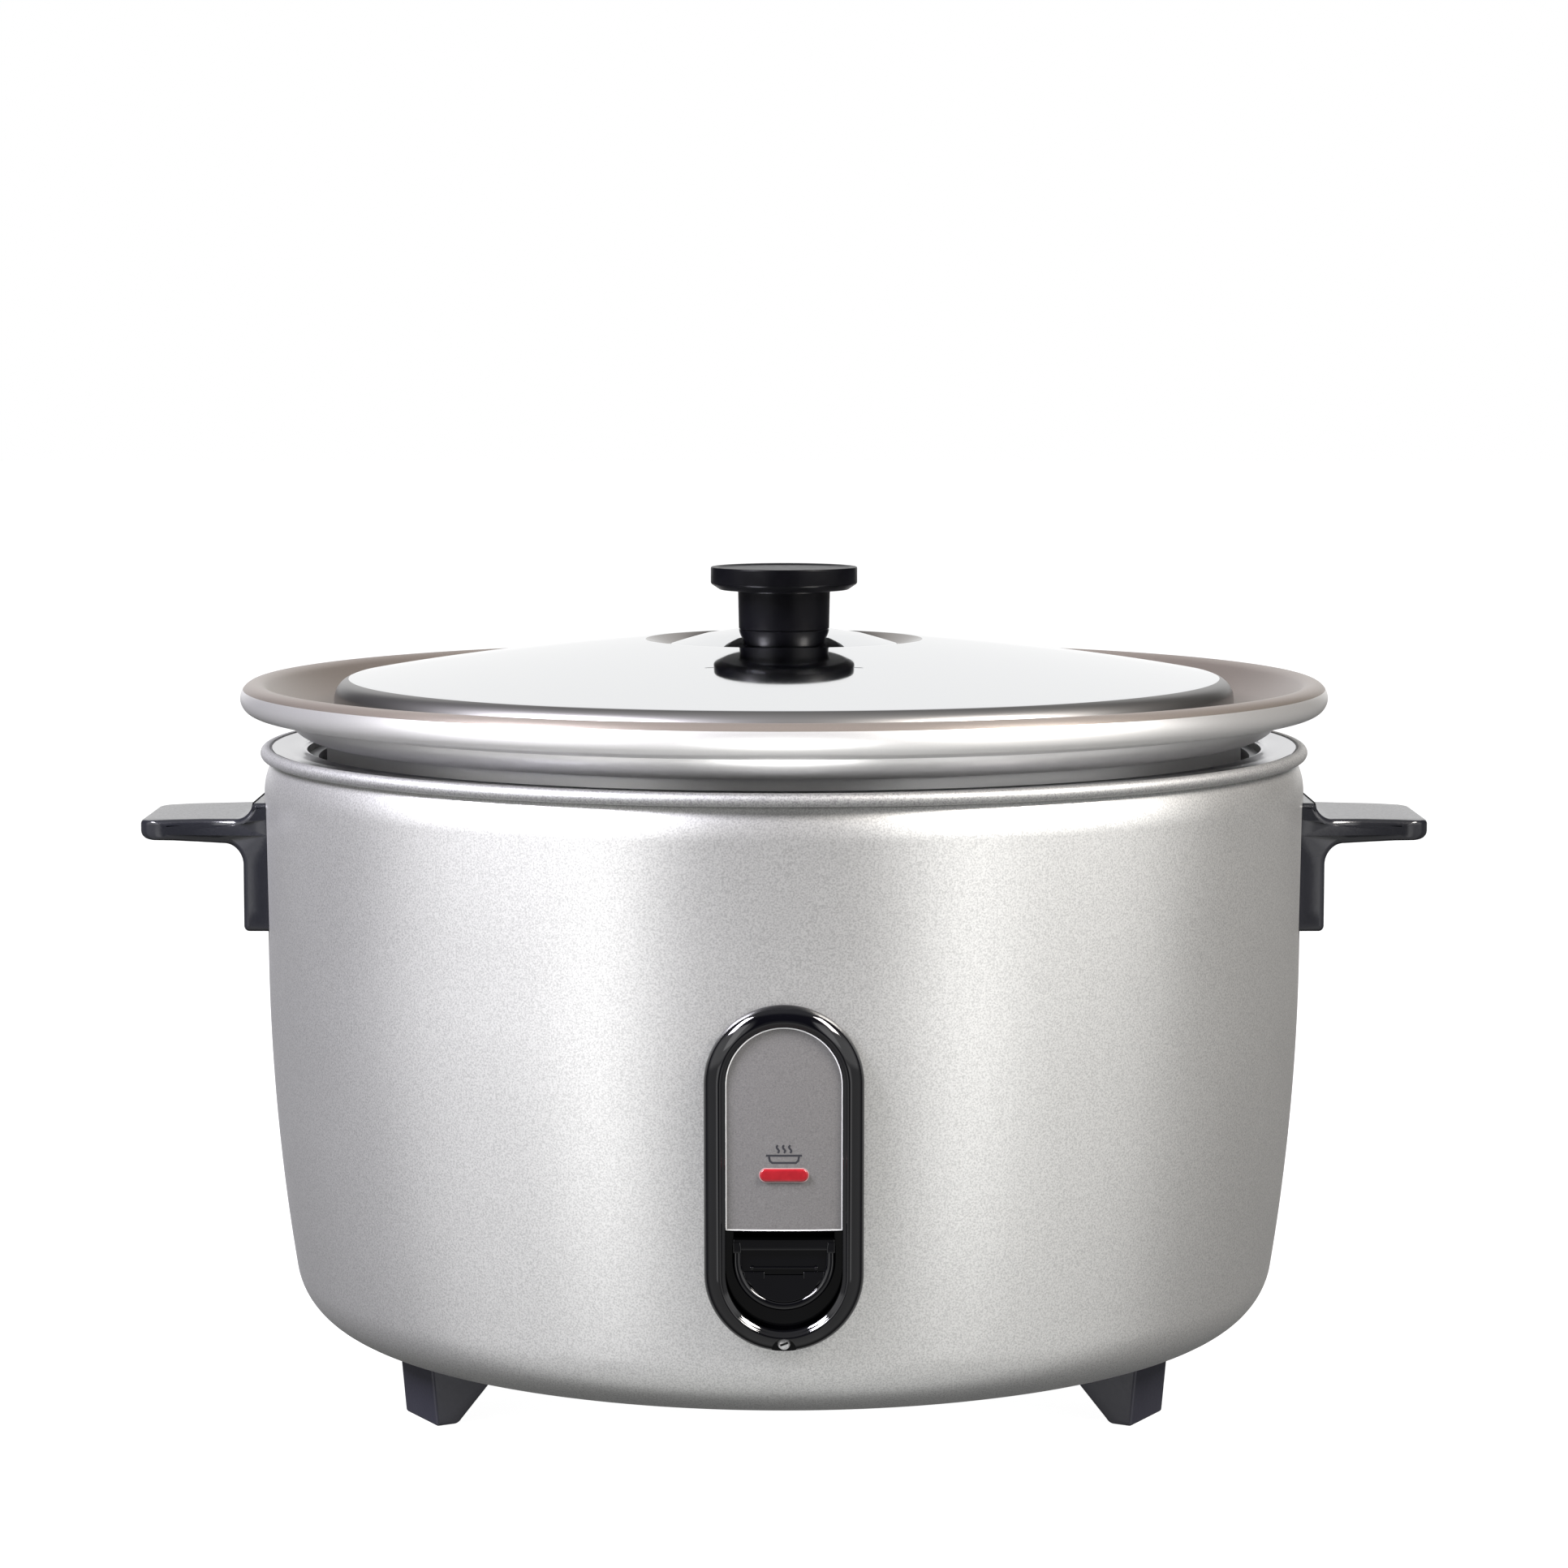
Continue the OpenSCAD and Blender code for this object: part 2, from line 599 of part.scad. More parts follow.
// ---- electrical parts ----
module terminal_block() {
    color([0.93, 0.92, 0.88]) difference() {
        translate([-20, block_y, z_plate]) cube([40, 16, 13]);
        for (x = [-13, 0, 13]) translate([x, block_y + 8, z_plate + 7]) cylinder(r = 3, h = 10);
    }
}
module thermal_fuse() {
    color([0.85, 0.83, 0.72]) translate([-14, 52, z_seat - 14]) rotate([0, 90, 0]) union() {
        cylinder(r = 3.4, h = 28);
        translate([0, 0, -6]) cylinder(r = 0.8, h = 40);
    }
}
module earth_screw() {
    color([0.80, 0.72, 0.40]) translate([34, block_y + 8, z_plate]) screw(base_shank_r, 5, base_head_r, 2.2);
}
module internal_wires() {
    mains = block_y - 1;
    lead_x = element_r * cos(lead_angles[0]);
    lead_y = element_r * sin(lead_angles[0]);
    low = z_plate + 3;
    color([0.75, 0.30, 0.25]) union() {
        for (s = [-1, 1]) wire(curve([s * 13, mains, z_plate + 6], [s * 13, 108, z_plate + 2],
            [s * (lead_x + 3), lead_y + 1, z_floor - 18]), 1.3);
        for (s = [-1, 1]) wire(concat(
            curve([s * 8, mains, low], [s * 58, 110, low + 1], [s * 62, 20, low + 1]),
            curve([s * 62, 12, low + 1], [s * 62, -108, low + 1], [s * 5, pivot_y - 30, low + 1])),
            1.3);
        wire(curve([0, gland_in - 6, gland_z - 4], [0, 176, z_plate + 6], [0, block_y + 17, z_plate + 5]), 3);
    }
}
module lamp_holder() {
    color([0.90, 0.90, 0.86]) difference() {
        to_front(200, 208.5) translate([-12, lamp_z - 5]) square([24, 10]);
        to_front(202, 210) translate([-9.5, lamp_z - 3.6]) square([19, 7.2]);
    }
}
module neon_lamp() {
    color([0.95, 0.45, 0.25]) translate([-7, -205, lamp_z]) rotate([0, 90, 0]) union() {
        cylinder(r = 2.6, h = 14);
        translate([0, 0, 14 - eps]) cylinder(r1 = 2.6, r2 = 0.8, h = 2);
    }
}

// ---- switch front ----
module bezel_skin(low_d, high_d) {
    difference() {
        body_solid(high_d);
        body_solid(low_d);
    }
}
module switch_bezel() {
    floor_d = bezel_proud - label_sink;
    color([0.04, 0.04, 0.05]) difference() {
        union() {
            intersection() {
                bezel_skin(0, bezel_proud);
                to_front(150, 240) stadium(bezel_w, bezel_low, bezel_high);
            }
            intersection() {
                body_solid(1);
                to_front(pocket_back - back_t, 240)
                    lower_pocket(pocket_w + 2 * pocket_wall, pocket_low - pocket_wall,
                        pocket_high + pocket_wall);
            }
        }
        to_front(pocket_back, 250) lower_pocket(pocket_w, pocket_low, pocket_high);
        difference() {
            to_front(150, 250) translate([0, pocket_high]) stadium(pocket_w, -1, label_high - pocket_high,
                round_low = false);
            body_solid(floor_d);
        }
        to_front(190, 240) translate([-slot_w / 2, slot_low]) square([slot_w, slot_high - slot_low]);
        to_front(190, 240) lamp_hole(fit);
        to_front(190, 240) translate([0, bezel_screw_z]) circle(bezel_shank_r + fit);
        to_front(screw_seat, 240) translate([0, notch_z]) circle(notch_r);
    }
}
module bezel_screw() {
    color([0.85, 0.85, 0.85]) translate([0, -screw_seat, bezel_screw_z]) rotate([90, 0, 0])
        screw(bezel_shank_r, 7, 2.4, 1.5);
}
module label_plate() {
    d = bezel_proud - label_sink;
    color([0.58, 0.58, 0.60]) difference() {
        intersection() {
            bezel_skin(d, d + label_t);
            to_front(150, 240)
                stadium(pocket_w - 0.2, pocket_high + 0.6, label_high - 0.1, round_low = false);
        }
        to_front(150, 240) lamp_hole(fit);
    }
}
module lamp_lens() {
    color([0.80, 0.10, 0.12]) to_front(208.6, body_r + 1.1) {
        for (s = [-1, 1]) translate([s * (lamp_w - lamp_h) / 2, lamp_z]) circle(lamp_h / 2);
        translate([-(lamp_w - lamp_h) / 2, lamp_z - lamp_h / 2]) square([lamp_w - lamp_h, lamp_h]);
    }
}

// ---- cord inlet ----
module cord_gland() {
    color([0.08, 0.08, 0.09]) translate([0, 0, gland_z]) rotate([-90, 0, 0]) difference() {
        union() {
            translate([0, 0, gland_in]) cylinder(r = 8, h = gland_out - gland_in);
            translate([0, 0, 209.6]) cylinder(r1 = 12, r2 = 9.5, h = gland_out - 209.6);
        }
        translate([0, 0, gland_in - 1]) cylinder(r = gland_bore, h = gland_out - gland_in + 2);
    }
}
module gland_nut() {
    color([0.10, 0.10, 0.11]) translate([0, 199, gland_z]) rotate([-90, 0, 0]) difference() {
        cylinder(r = 12, h = 3.5, $fn = 6);
        translate([0, 0, -1]) cylinder(r = 8 + fit, h = 6);
    }
}
module rating_plate() {
    color([0.80, 0.80, 0.80]) translate([-24, 20, z_plate - 1.5]) cube([48, 28, 0.3]);
}

// ---- pan, lid and knob ----
module pan() {
    start = [neck_x + (neck_r + pan_t) * cos(neck_end), neck_z + (neck_r + pan_t) * sin(neck_end)];
    finish = [bead_x + bead_r * cos(bead_end), z_bead + bead_r * sin(bead_end)];
    knee = meet(start, neck_end - 90, finish, bead_end - 90);
    color([0.74, 0.73, 0.71]) spin(concat(
        [[0, z_seat]],
        arc(pan_r - pan_corner, z_seat + pan_corner, pan_corner, -90, 0),
        arc(neck_x, neck_z, neck_r, 180, 92),
        arc(bead_x, z_bead, bead_r, under_end, bead_end, 16),
        curve(finish, knee, start),
        arc(neck_x, neck_z, neck_r + pan_t, neck_end - 2, 180),
        arc(pan_r - pan_corner, z_seat + pan_corner, pan_corner - pan_t, 0, -90),
        [[0, z_seat + pan_t]]));
}
module lid() {
    path = concat([[skirt_r, foot_bead_z]],
        arc(skirt_r - shoulder_lid_r, skirt_z, shoulder_lid_r, 0, 90 - lid_slope),
        arc(dome_x, dome_z, dome_r, 90 - lid_slope + 0.03, 90 - rim_slope - 0.03),
        arc(well_r, well_z - 1.5, 1.5, 94, 112, 3),
        arc(boss_r + 2.2, well_z - well_depth + 0.9, 0.9, 290, 180, 4),
        arc(boss_r - 1.2, well_z - boss_edge - 1.2, 1.2, 0, 78, 4),
        [[stem_r + 1, z_boss], [2.6, z_boss]]);
    color([0.88, 0.88, 0.89]) difference() {
        union() {
            spin(sheet(path, lid_t));
            rotate_extrude($fn = 180) translate([foot_bead_x, foot_bead_z]) circle(foot_bead_r, $fn = 24);
            translate([0, 0, foot_bead_z - foot_bead_r]) ring(foot_bead_x, skirt_r - lid_t, 2 * foot_bead_r);
        }
        for (s = [-1, 1]) rotate([0, 0, s * vent_angle]) translate([-2, -vent_r - 0.8, z_top])
            cube([4, 1.6, 60]);
    }
}
module lid_knob() {
    color([0.05, 0.05, 0.06]) difference() {
        spin([[0, z_boss], [stem_r, z_boss], [stem_r + stem_flare, z_cap - cap_h - cap_chamfer],
            [knob_r - cap_chamfer, z_cap - cap_h - cap_chamfer], [knob_r, z_cap - cap_h],
            [knob_r, z_cap - 0.8], [knob_r - 0.8, z_cap], [knob_r - 2.6, z_cap],
            [knob_r - 3.4, z_cap - 0.7], [0, z_cap - 0.7]]);
        translate([0, 0, z_boss - 1]) cylinder(r = 2.4 + fit, h = 17.5);
    }
}
module knob_screw() {
    color([0.75, 0.75, 0.75]) translate([0, 0, z_boss - lid_t - 1.2]) mirror([0, 0, 1])
        screw(2.4, 14, 4.6, 3);
}
module knob_washer() {
    color([0.55, 0.55, 0.55]) translate([0, 0, z_boss - lid_t - 1.2]) ring(9, 2.4 + fit, 1.2);
}

outer_shell();
top_ring();
inner_liner();
bottom_plate();
bottom_screws();
foot_front_left();
foot_front_right();
foot_rear();
foot_screws();
handle_left();
handle_right();
handle_backing_plates();
handle_screws();
heater_plate();
heater_element();
heater_terminals();
heater_spacers();
heater_screws();
thermostat_housing();
thermostat_screws();
switch_bracket();
bracket_screws();
lever_pivot_pin();
microswitch();
terminal_block();
thermal_fuse();
earth_screw();
internal_wires();
switch_bezel();
bezel_screw();
label_plate();
lamp_lens();
lamp_holder();
neon_lamp();
cord_gland();
gland_nut();
rating_plate();
pan();
lid();
lid_knob();
knob_screw();
knob_washer();
cook_lever();
lever_arm();
magnet_holder();
magnet();
return_spring();
sensor_cap();
ferrite_disc();
sensor_spring();
microswitch_button();
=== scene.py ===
"""Looks of the rice cooker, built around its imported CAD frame."""
import json
from math import asin, copysign, cos, degrees, hypot, pi, radians, sin, sqrt

import bmesh
import bpy
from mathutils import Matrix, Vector
from mathutils.geometry import tessellate_polygon


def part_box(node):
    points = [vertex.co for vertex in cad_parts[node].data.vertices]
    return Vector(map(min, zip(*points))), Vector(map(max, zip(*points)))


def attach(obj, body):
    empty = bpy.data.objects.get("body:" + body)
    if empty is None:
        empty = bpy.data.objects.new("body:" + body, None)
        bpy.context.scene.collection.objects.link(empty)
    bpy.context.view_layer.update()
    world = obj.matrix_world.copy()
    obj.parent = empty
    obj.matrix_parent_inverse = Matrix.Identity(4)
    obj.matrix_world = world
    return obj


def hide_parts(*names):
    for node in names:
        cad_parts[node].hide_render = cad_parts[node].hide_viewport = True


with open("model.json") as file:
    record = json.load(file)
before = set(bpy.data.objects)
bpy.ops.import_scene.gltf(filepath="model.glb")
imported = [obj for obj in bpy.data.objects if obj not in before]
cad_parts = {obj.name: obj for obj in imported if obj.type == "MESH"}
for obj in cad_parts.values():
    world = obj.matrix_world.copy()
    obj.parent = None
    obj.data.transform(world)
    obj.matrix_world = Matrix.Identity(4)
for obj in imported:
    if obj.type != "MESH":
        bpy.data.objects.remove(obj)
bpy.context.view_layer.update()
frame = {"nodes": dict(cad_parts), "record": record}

MM = 0.001
TAU = 2 * pi

# ---- sizes read from the frame ----
SHELL_LOW, SHELL_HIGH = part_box("outer_shell")
PAN_LOW, PAN_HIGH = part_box("pan")
LID_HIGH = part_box("lid")[1]
KNOB_LOW, KNOB_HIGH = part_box("lid_knob")
LEDGE_LOW, LEDGE_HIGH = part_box("handle_right")
BEZEL_LOW, BEZEL_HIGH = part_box("switch_bezel")
LABEL_LOW, LABEL_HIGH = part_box("label_plate")
LENS_LOW, LENS_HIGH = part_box("lamp_lens")
LEVER_LOW, LEVER_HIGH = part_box("cook_lever")
SCREW_LOW, SCREW_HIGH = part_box("bezel_screw")
GLAND_LOW, GLAND_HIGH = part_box("cord_gland")
HEATER_LOW, HEATER_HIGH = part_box("heater_plate")
SENSOR_LOW, SENSOR_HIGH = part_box("sensor_cap")

BODY_R = SHELL_HIGH.x
Z_UNDER = SHELL_LOW.z
Z_TOP = SHELL_HIGH.z
GROWTH = BODY_R - 216.4 * MM  # how far the body's radius is from its usual value
LENS_HALF_W = (LENS_HIGH.x - LENS_LOW.x) / 2
LENS_HALF_H = (LENS_HIGH.z - LENS_LOW.z) / 2
LENS_Z = (LENS_HIGH.z + LENS_LOW.z) / 2


# ---- outlines ----
def pts(x, z, *steps):
    """Points at steps in millimetres from (x, z)."""
    return [(x + a * MM, z + b * MM) for a, b in steps]


def arc(cx, cz, r, start, end, steps=12):
    """Points of an arc; angles in degrees from the +R direction."""
    span = [radians(start + (end - start) * i / steps) for i in range(steps + 1)]
    return [(cx + r * cos(a), cz + r * sin(a)) for a in span]


def curve(p, c, q, steps=14):
    """Points of a quadratic curve from p to q that leaves and arrives towards c."""
    points = []
    for i in range(steps + 1):
        t = i / steps
        points.append(tuple((1 - t) ** 2 * p[k] + 2 * t * (1 - t) * c[k] + t * t * q[k] for k in (0, 1)))
    return points


def meet(p, a, q, b):
    """Where the line from p along angle a crosses the line through q along angle b."""
    da = (cos(radians(a)), sin(radians(a)))
    db = (cos(radians(b)), sin(radians(b)))
    gap = (q[0] - p[0], q[1] - p[1])
    t = (gap[0] * db[1] - gap[1] * db[0]) / (da[0] * db[1] - da[1] * db[0])
    return (p[0] + da[0] * t, p[1] + da[1] * t)


def offset(points, distance):
    """The path moved to its left by a distance, with mitred corners."""
    moved = []
    last = len(points) - 1
    for i, point in enumerate(points):
        a = Vector(points[min(i, last - 1) + 1]) - Vector(points[min(i, last - 1)])
        b = Vector(points[max(i, 1)]) - Vector(points[max(i, 1) - 1])
        na = Vector((-a.y, a.x)).normalized()
        nb = Vector((-b.y, b.x)).normalized()
        n = (na + nb).normalized()
        moved.append(tuple(Vector(point) + n * distance / n.dot(na)))
    return moved


def sheet(points, thickness):
    """Closed outline of a sheet that lies to the left of a path."""
    return points + offset(points, thickness)[::-1]


# The body's side: corner arc, long side arc and shoulder arc, as in the CAD frame.
LEAN = 8.8
CORNER_R = 28.5 * MM
SIDE_R = 890 * MM
SHOULDER_R = 26.6 * MM
SHOULDER_TURN = 29.3
WALL_R = BODY_R - 0.9 * MM
P_LEAN = radians(LEAN)
CORNER_X = WALL_R - SIDE_R * (1 - cos(P_LEAN)) - CORNER_R * cos(P_LEAN)
CORNER_Z = Z_UNDER + CORNER_R
SIDE_Z = CORNER_Z + (SIDE_R - CORNER_R) * sin(P_LEAN)
SHOULDER_Z = Z_TOP - SHOULDER_R * sin(radians(SHOULDER_TURN))


def body_radius(z):
    """Radius of the body's outer face at a height."""
    if z < CORNER_Z - CORNER_R * sin(P_LEAN):
        return CORNER_X + sqrt(max(CORNER_R ** 2 - (CORNER_Z - z) ** 2, 0))
    if z < SIDE_Z:
        return WALL_R - SIDE_R + sqrt(SIDE_R ** 2 - (SIDE_Z - z) ** 2)
    if z < SHOULDER_Z:
        return WALL_R + (BODY_R - WALL_R) * (z - SIDE_Z) / (SHOULDER_Z - SIDE_Z)
    return BODY_R - SHOULDER_R + sqrt(max(SHOULDER_R ** 2 - (z - SHOULDER_Z) ** 2, 0))


def body_side():
    """Outline of the body's outer face."""
    return (arc(CORNER_X, CORNER_Z, CORNER_R, -90, -LEAN, 18)
            + arc(WALL_R - SIDE_R, SIDE_Z, SIDE_R, -LEAN, 0, 24)[1:]
            + arc(BODY_R - SHOULDER_R, SHOULDER_Z, SHOULDER_R, 0, SHOULDER_TURN, 8))


def skin_x(y, z):
    """How far out the body's outer face is at a height, y to the side of the direction looked along."""
    return sqrt(max(body_radius(z) ** 2 - y * y, 0))


# ---- meshes ----
SHARP = 32.0


def add_object(name, data):
    obj = bpy.data.objects.new(name, data)
    bpy.context.scene.collection.objects.link(obj)
    return obj


def smooth(mesh, sharp):
    """Shades a mesh smooth; edges above an angle in degrees stay sharp."""
    mesh.polygons.foreach_set("use_smooth", [True] * len(mesh.polygons))
    mesh.set_sharp_from_angle(angle=radians(sharp))


def paint(obj, *materials):
    """Gives an object these materials and no others."""
    obj.data.materials.clear()
    for material in materials:
        obj.data.materials.append(material)


def faces_of(obj):
    """Each face with its distance from the Z axis and its height."""
    for face in obj.data.polygons:
        yield face, hypot(face.center.x, face.center.y), face.center.z


def finish_mesh(name, bm, sharp=SHARP):
    """Turns a bmesh into a smooth-shaded object whose normals face outwards."""
    bmesh.ops.recalc_face_normals(bm, faces=bm.faces)
    mesh = bpy.data.meshes.new(name)
    bm.to_mesh(mesh)
    bm.free()
    smooth(mesh, sharp)
    return add_object(name, mesh)


def lathe(name, outline, around=256):
    """Turns a closed outline of (radius, height) points about the Z axis."""
    turns = [TAU * k / around for k in range(around)]
    bm = bmesh.new()
    rings = []
    for r, z in outline:
        if r < 1e-6:
            rings.append([bm.verts.new((0, 0, z))])
        else:
            rings.append([bm.verts.new((r * cos(a), r * sin(a), z)) for a in turns])
    for i, ring in enumerate(rings):
        nxt = rings[(i + 1) % len(rings)]
        for k in range(around):
            m = (k + 1) % around
            if len(ring) == 1 and len(nxt) == 1:
                break
            if len(ring) == 1:
                bm.faces.new((ring[0], nxt[k], nxt[m]))
            elif len(nxt) == 1:
                bm.faces.new((ring[k], ring[m], nxt[0]))
            else:
                bm.faces.new((ring[k], ring[m], nxt[m], nxt[k]))
    return finish_mesh(name, bm)


def loft(name, sections, sharp=38.0, closed=False):
    """Skins a list of equal-length closed sections; the ends are capped unless the loft closes on itself."""
    bm = bmesh.new()
    rows = [[bm.verts.new(p) for p in section] for section in sections]
    count = len(rows[0])
    pairs = list(zip(rows, rows[1:])) + ([(rows[-1], rows[0])] if closed else [])
    for a, b in pairs:
        for k in range(count):
            m = (k + 1) % count
            bm.faces.new((a[k], a[m], b[m], b[k]))
    if not closed:
        for section, row in ((sections[0], rows[0]), (sections[-1], rows[-1])):
            for corners in tessellate_polygon([[Vector(p) for p in section]]):
                bm.faces.new([row[k] for k in corners])
    return finish_mesh(name, bm, sharp)


def upright(x, z, d):
    """A point of a front view, with its depth along Y."""
    return (x, d, z)


def prism(name, outline, near, far, bevel=0, place=upright):
    """Extrudes a 2D outline between two depths, bevels its edges, and places each point with a function."""
    bm = bmesh.new()
    a = [bm.verts.new((x, z, near)) for x, z in outline]
    b = [bm.verts.new((x, z, far)) for x, z in outline]
    bm.faces.new(a[::-1])
    bm.faces.new(b)
    for k in range(len(a)):
        m = (k + 1) % len(a)
        bm.faces.new((a[k], a[m], b[m], b[k]))
    bmesh.ops.recalc_face_normals(bm, faces=bm.faces)
    if bevel:
        edges = [e for e in bm.edges if e.calc_face_angle(0) > radians(28)]
        bmesh.ops.bevel(bm, geom=edges, offset=bevel, segments=4, affect="EDGES", profile=0.5)
    for v in bm.verts:
        v.co = Vector(place(*v.co))
    return finish_mesh(name, bm, 40.0)


def join(name, parts):
    """Joins several objects into one, keeping their materials."""
    bm = bmesh.new()
    materials = []
    for part in parts:
        start = len(bm.faces)
        bm.from_mesh(part.data)
        bm.faces.ensure_lookup_table()
        shift = []
        for mat in part.data.materials:
            if mat not in materials:
                materials.append(mat)
            shift.append(materials.index(mat))
        for face in bm.faces[start:]:
            if shift:
                face.material_index = shift[min(face.material_index, len(shift) - 1)]
        bpy.data.objects.remove(part)
    mesh = bpy.data.meshes.new(name)
    bm.to_mesh(mesh)
    bm.free()
    for mat in materials:
        mesh.materials.append(mat)
    return add_object(name, mesh)


def cut(obj, tool):
    """Cuts one solid out of another and removes the tool."""
    mod = obj.modifiers.new("cut", "BOOLEAN")
    mod.operation = "DIFFERENCE"
    mod.solver = "EXACT"
    mod.object = tool
    depsgraph = bpy.context.evaluated_depsgraph_get()
    mesh = bpy.data.meshes.new_from_object(obj.evaluated_get(depsgraph))
    mesh.name = obj.name
    obj.modifiers.clear()
    obj.data = mesh
    smooth(mesh, SHARP)
    bpy.data.objects.remove(tool)
    return obj


def dress(obj, material, body, slot, *nodes):
    """Gives a piece its material and body, and hides the CAD nodes that it stands for; the slot is not used.
    """
    if material:
        paint(obj, material)
    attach(obj, body)
    if nodes:
        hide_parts(*nodes)
    return obj


# ---- materials ----
class Nodes:
    """A node tree with short helpers."""

    def node(self, kind, **settings):
        """A node with its properties and inputs set; an underscore stands for a space in an input's name."""
        n = self.tree.nodes.new(kind)
        for key, value in settings.items():
            if hasattr(n, key):
                setattr(n, key, value)
            else:
                n.inputs[key.replace("_", " ")].default_value = value
        return n

    def link(self, a, b):
        self.tree.links.new(a, b)


class Shader(Nodes):
    """A material on the Principled shader."""

    def __init__(self, name, color, metallic=0.0, roughness=0.5, **inputs):
        self.mat = bpy.data.materials.new(name)
        self.mat.use_nodes = True
        self.tree = self.mat.node_tree
        self.bsdf = self.tree.nodes["Principled BSDF"]
        self.bsdf.inputs["Base Color"].default_value = (*color, 1)
        self.bsdf.inputs["Metallic"].default_value = metallic
        self.bsdf.inputs["Roughness"].default_value = roughness
        for key, value in inputs.items():
            self.bsdf.inputs[key.replace("_", " ")].default_value = value
        self.coords = None
        self.relief = None

    def place(self):
        """Object coordinates."""
        if self.coords is None:
            self.coords = self.node("ShaderNodeTexCoord")
        return self.coords.outputs["Object"]

    def rings(self):
        """Distance from the Z axis, height and, more slowly, angle: noise over them makes brushed circles."""
        split = self.node("ShaderNodeSeparateXYZ")
        self.link(self.place(), split.inputs[0])
        flat = self.node("ShaderNodeCombineXYZ")
        self.link(split.outputs["X"], flat.inputs["X"])
        self.link(split.outputs["Y"], flat.inputs["Y"])
        size = self.node("ShaderNodeVectorMath", operation="LENGTH")
        self.link(flat.outputs[0], size.inputs[0])
        turned = self.node("ShaderNodeMath", operation="ARCTAN2")
        self.link(split.outputs["Y"], turned.inputs[0])
        self.link(split.outputs["X"], turned.inputs[1])
        slow = self.node("ShaderNodeMath", operation="MULTIPLY")
        self.link(turned.outputs[0], slow.inputs[0])
        slow.inputs[1].default_value = 3.0
        out = self.node("ShaderNodeCombineXYZ")
        self.link(size.outputs["Value"], out.inputs["X"])
        self.link(split.outputs["Z"], out.inputs["Y"])
        self.link(slow.outputs[0], out.inputs["Z"])
        return out.outputs[0]

    def noise(self, vector, scale, detail=2.0, rough=0.5):
        n = self.node("ShaderNodeTexNoise", Scale=scale, Detail=detail, Roughness=rough)
        self.link(vector, n.inputs["Vector"])
        return n.outputs["Fac"]

    def tint(self, value, dark, light, start=0.3, end=0.7):
        """Maps a value to a colour between two colours."""
        n = self.node("ShaderNodeValToRGB")
        for stop, position, color in zip(n.color_ramp.elements, (start, end), (dark, light)):
            stop.position = position
            stop.color = (*color, 1)
        self.link(value, n.inputs["Fac"])
        self.link(n.outputs["Color"], self.bsdf.inputs["Base Color"])
        return self

    def rough(self, value, low, high):
        """Maps a value to a roughness between two numbers."""
        n = self.node("ShaderNodeMapRange", From_Min=0.3, From_Max=0.7, To_Min=low, To_Max=high)
        self.link(value, n.inputs["Value"])
        self.link(n.outputs["Result"], self.bsdf.inputs["Roughness"])
        return self

    def bump(self, value, strength, distance):
        n = self.node("ShaderNodeBump", Strength=strength, Distance=distance)
        self.link(value, n.inputs["Height"])
        if self.relief is not None:
            self.link(self.relief, n.inputs["Normal"])
        self.relief = n.outputs["Normal"]
        self.link(self.relief, self.bsdf.inputs["Normal"])
        return self

    def tangent(self):
        """Circular brushing about the Z axis for the anisotropic highlight."""
        n = self.node("ShaderNodeTangent", direction_type="RADIAL", axis="Z")
        self.link(n.outputs[0], self.bsdf.inputs["Tangent"])
        return self


def metallic_paint(name, dark, light, roughness):
    s = Shader(name, light, metallic=0.85, roughness=roughness, Coat_Weight=0.12, Coat_Roughness=0.25)
    flakes = s.noise(s.place(), 1500.0, 1.0)
    clouds = s.noise(s.place(), 9.0, 3.0)
    s.tint(flakes, dark, light, 0.32, 0.62)
    s.rough(clouds, roughness - 0.02, roughness + 0.02)
    s.bump(s.noise(s.place(), 900.0, 2.0), 0.10, 0.0002)
    return s.mat


def brushed(name, dark, light, rough_low, rough_high, fine=2600.0, metallic=1.0):
    """Metal brushed in circles; its highlights spread across the lines."""
    s = Shader(name, light, metallic, rough_low, Anisotropic=0.7, Anisotropic_Rotation=0.25)
    lines = s.noise(s.rings(), fine, 3.0, 0.6)
    s.tint(lines, dark, light)
    s.rough(lines, rough_low, rough_high)
    s.bump(lines, 0.08, 0.0002)
    s.tangent()
    return s.mat


def polished(name, color, roughness):
    s = Shader(name, color, metallic=1.0, roughness=roughness)
    haze = s.noise(s.place(), 14.0, 4.0)
    s.rough(haze, roughness, roughness + 0.03)
    return s.mat


def moulded(name, dark, light, rough_low, rough_high, grain=900.0, depth=0.00012, **inputs):
    s = Shader(name, light, metallic=0.0, roughness=rough_low, **inputs)
    fine = s.noise(s.place(), grain, 3.0)
    broad = s.noise(s.place(), 25.0, 3.0)
    s.tint(broad, dark, light)
    s.rough(fine, rough_low, rough_high)
    s.bump(fine, 0.15, depth)
    return s.mat


def plated(name, dark, light, roughness, metallic=1.0):
    s = Shader(name, light, metallic=metallic, roughness=roughness)
    spangle = s.noise(s.place(), 120.0, 4.0)
    s.tint(spangle, dark, light)
    s.rough(spangle, roughness - 0.06, roughness + 0.08)
    s.bump(s.noise(s.place(), 500.0, 3.0), 0.1, 0.0002)
    return s.mat


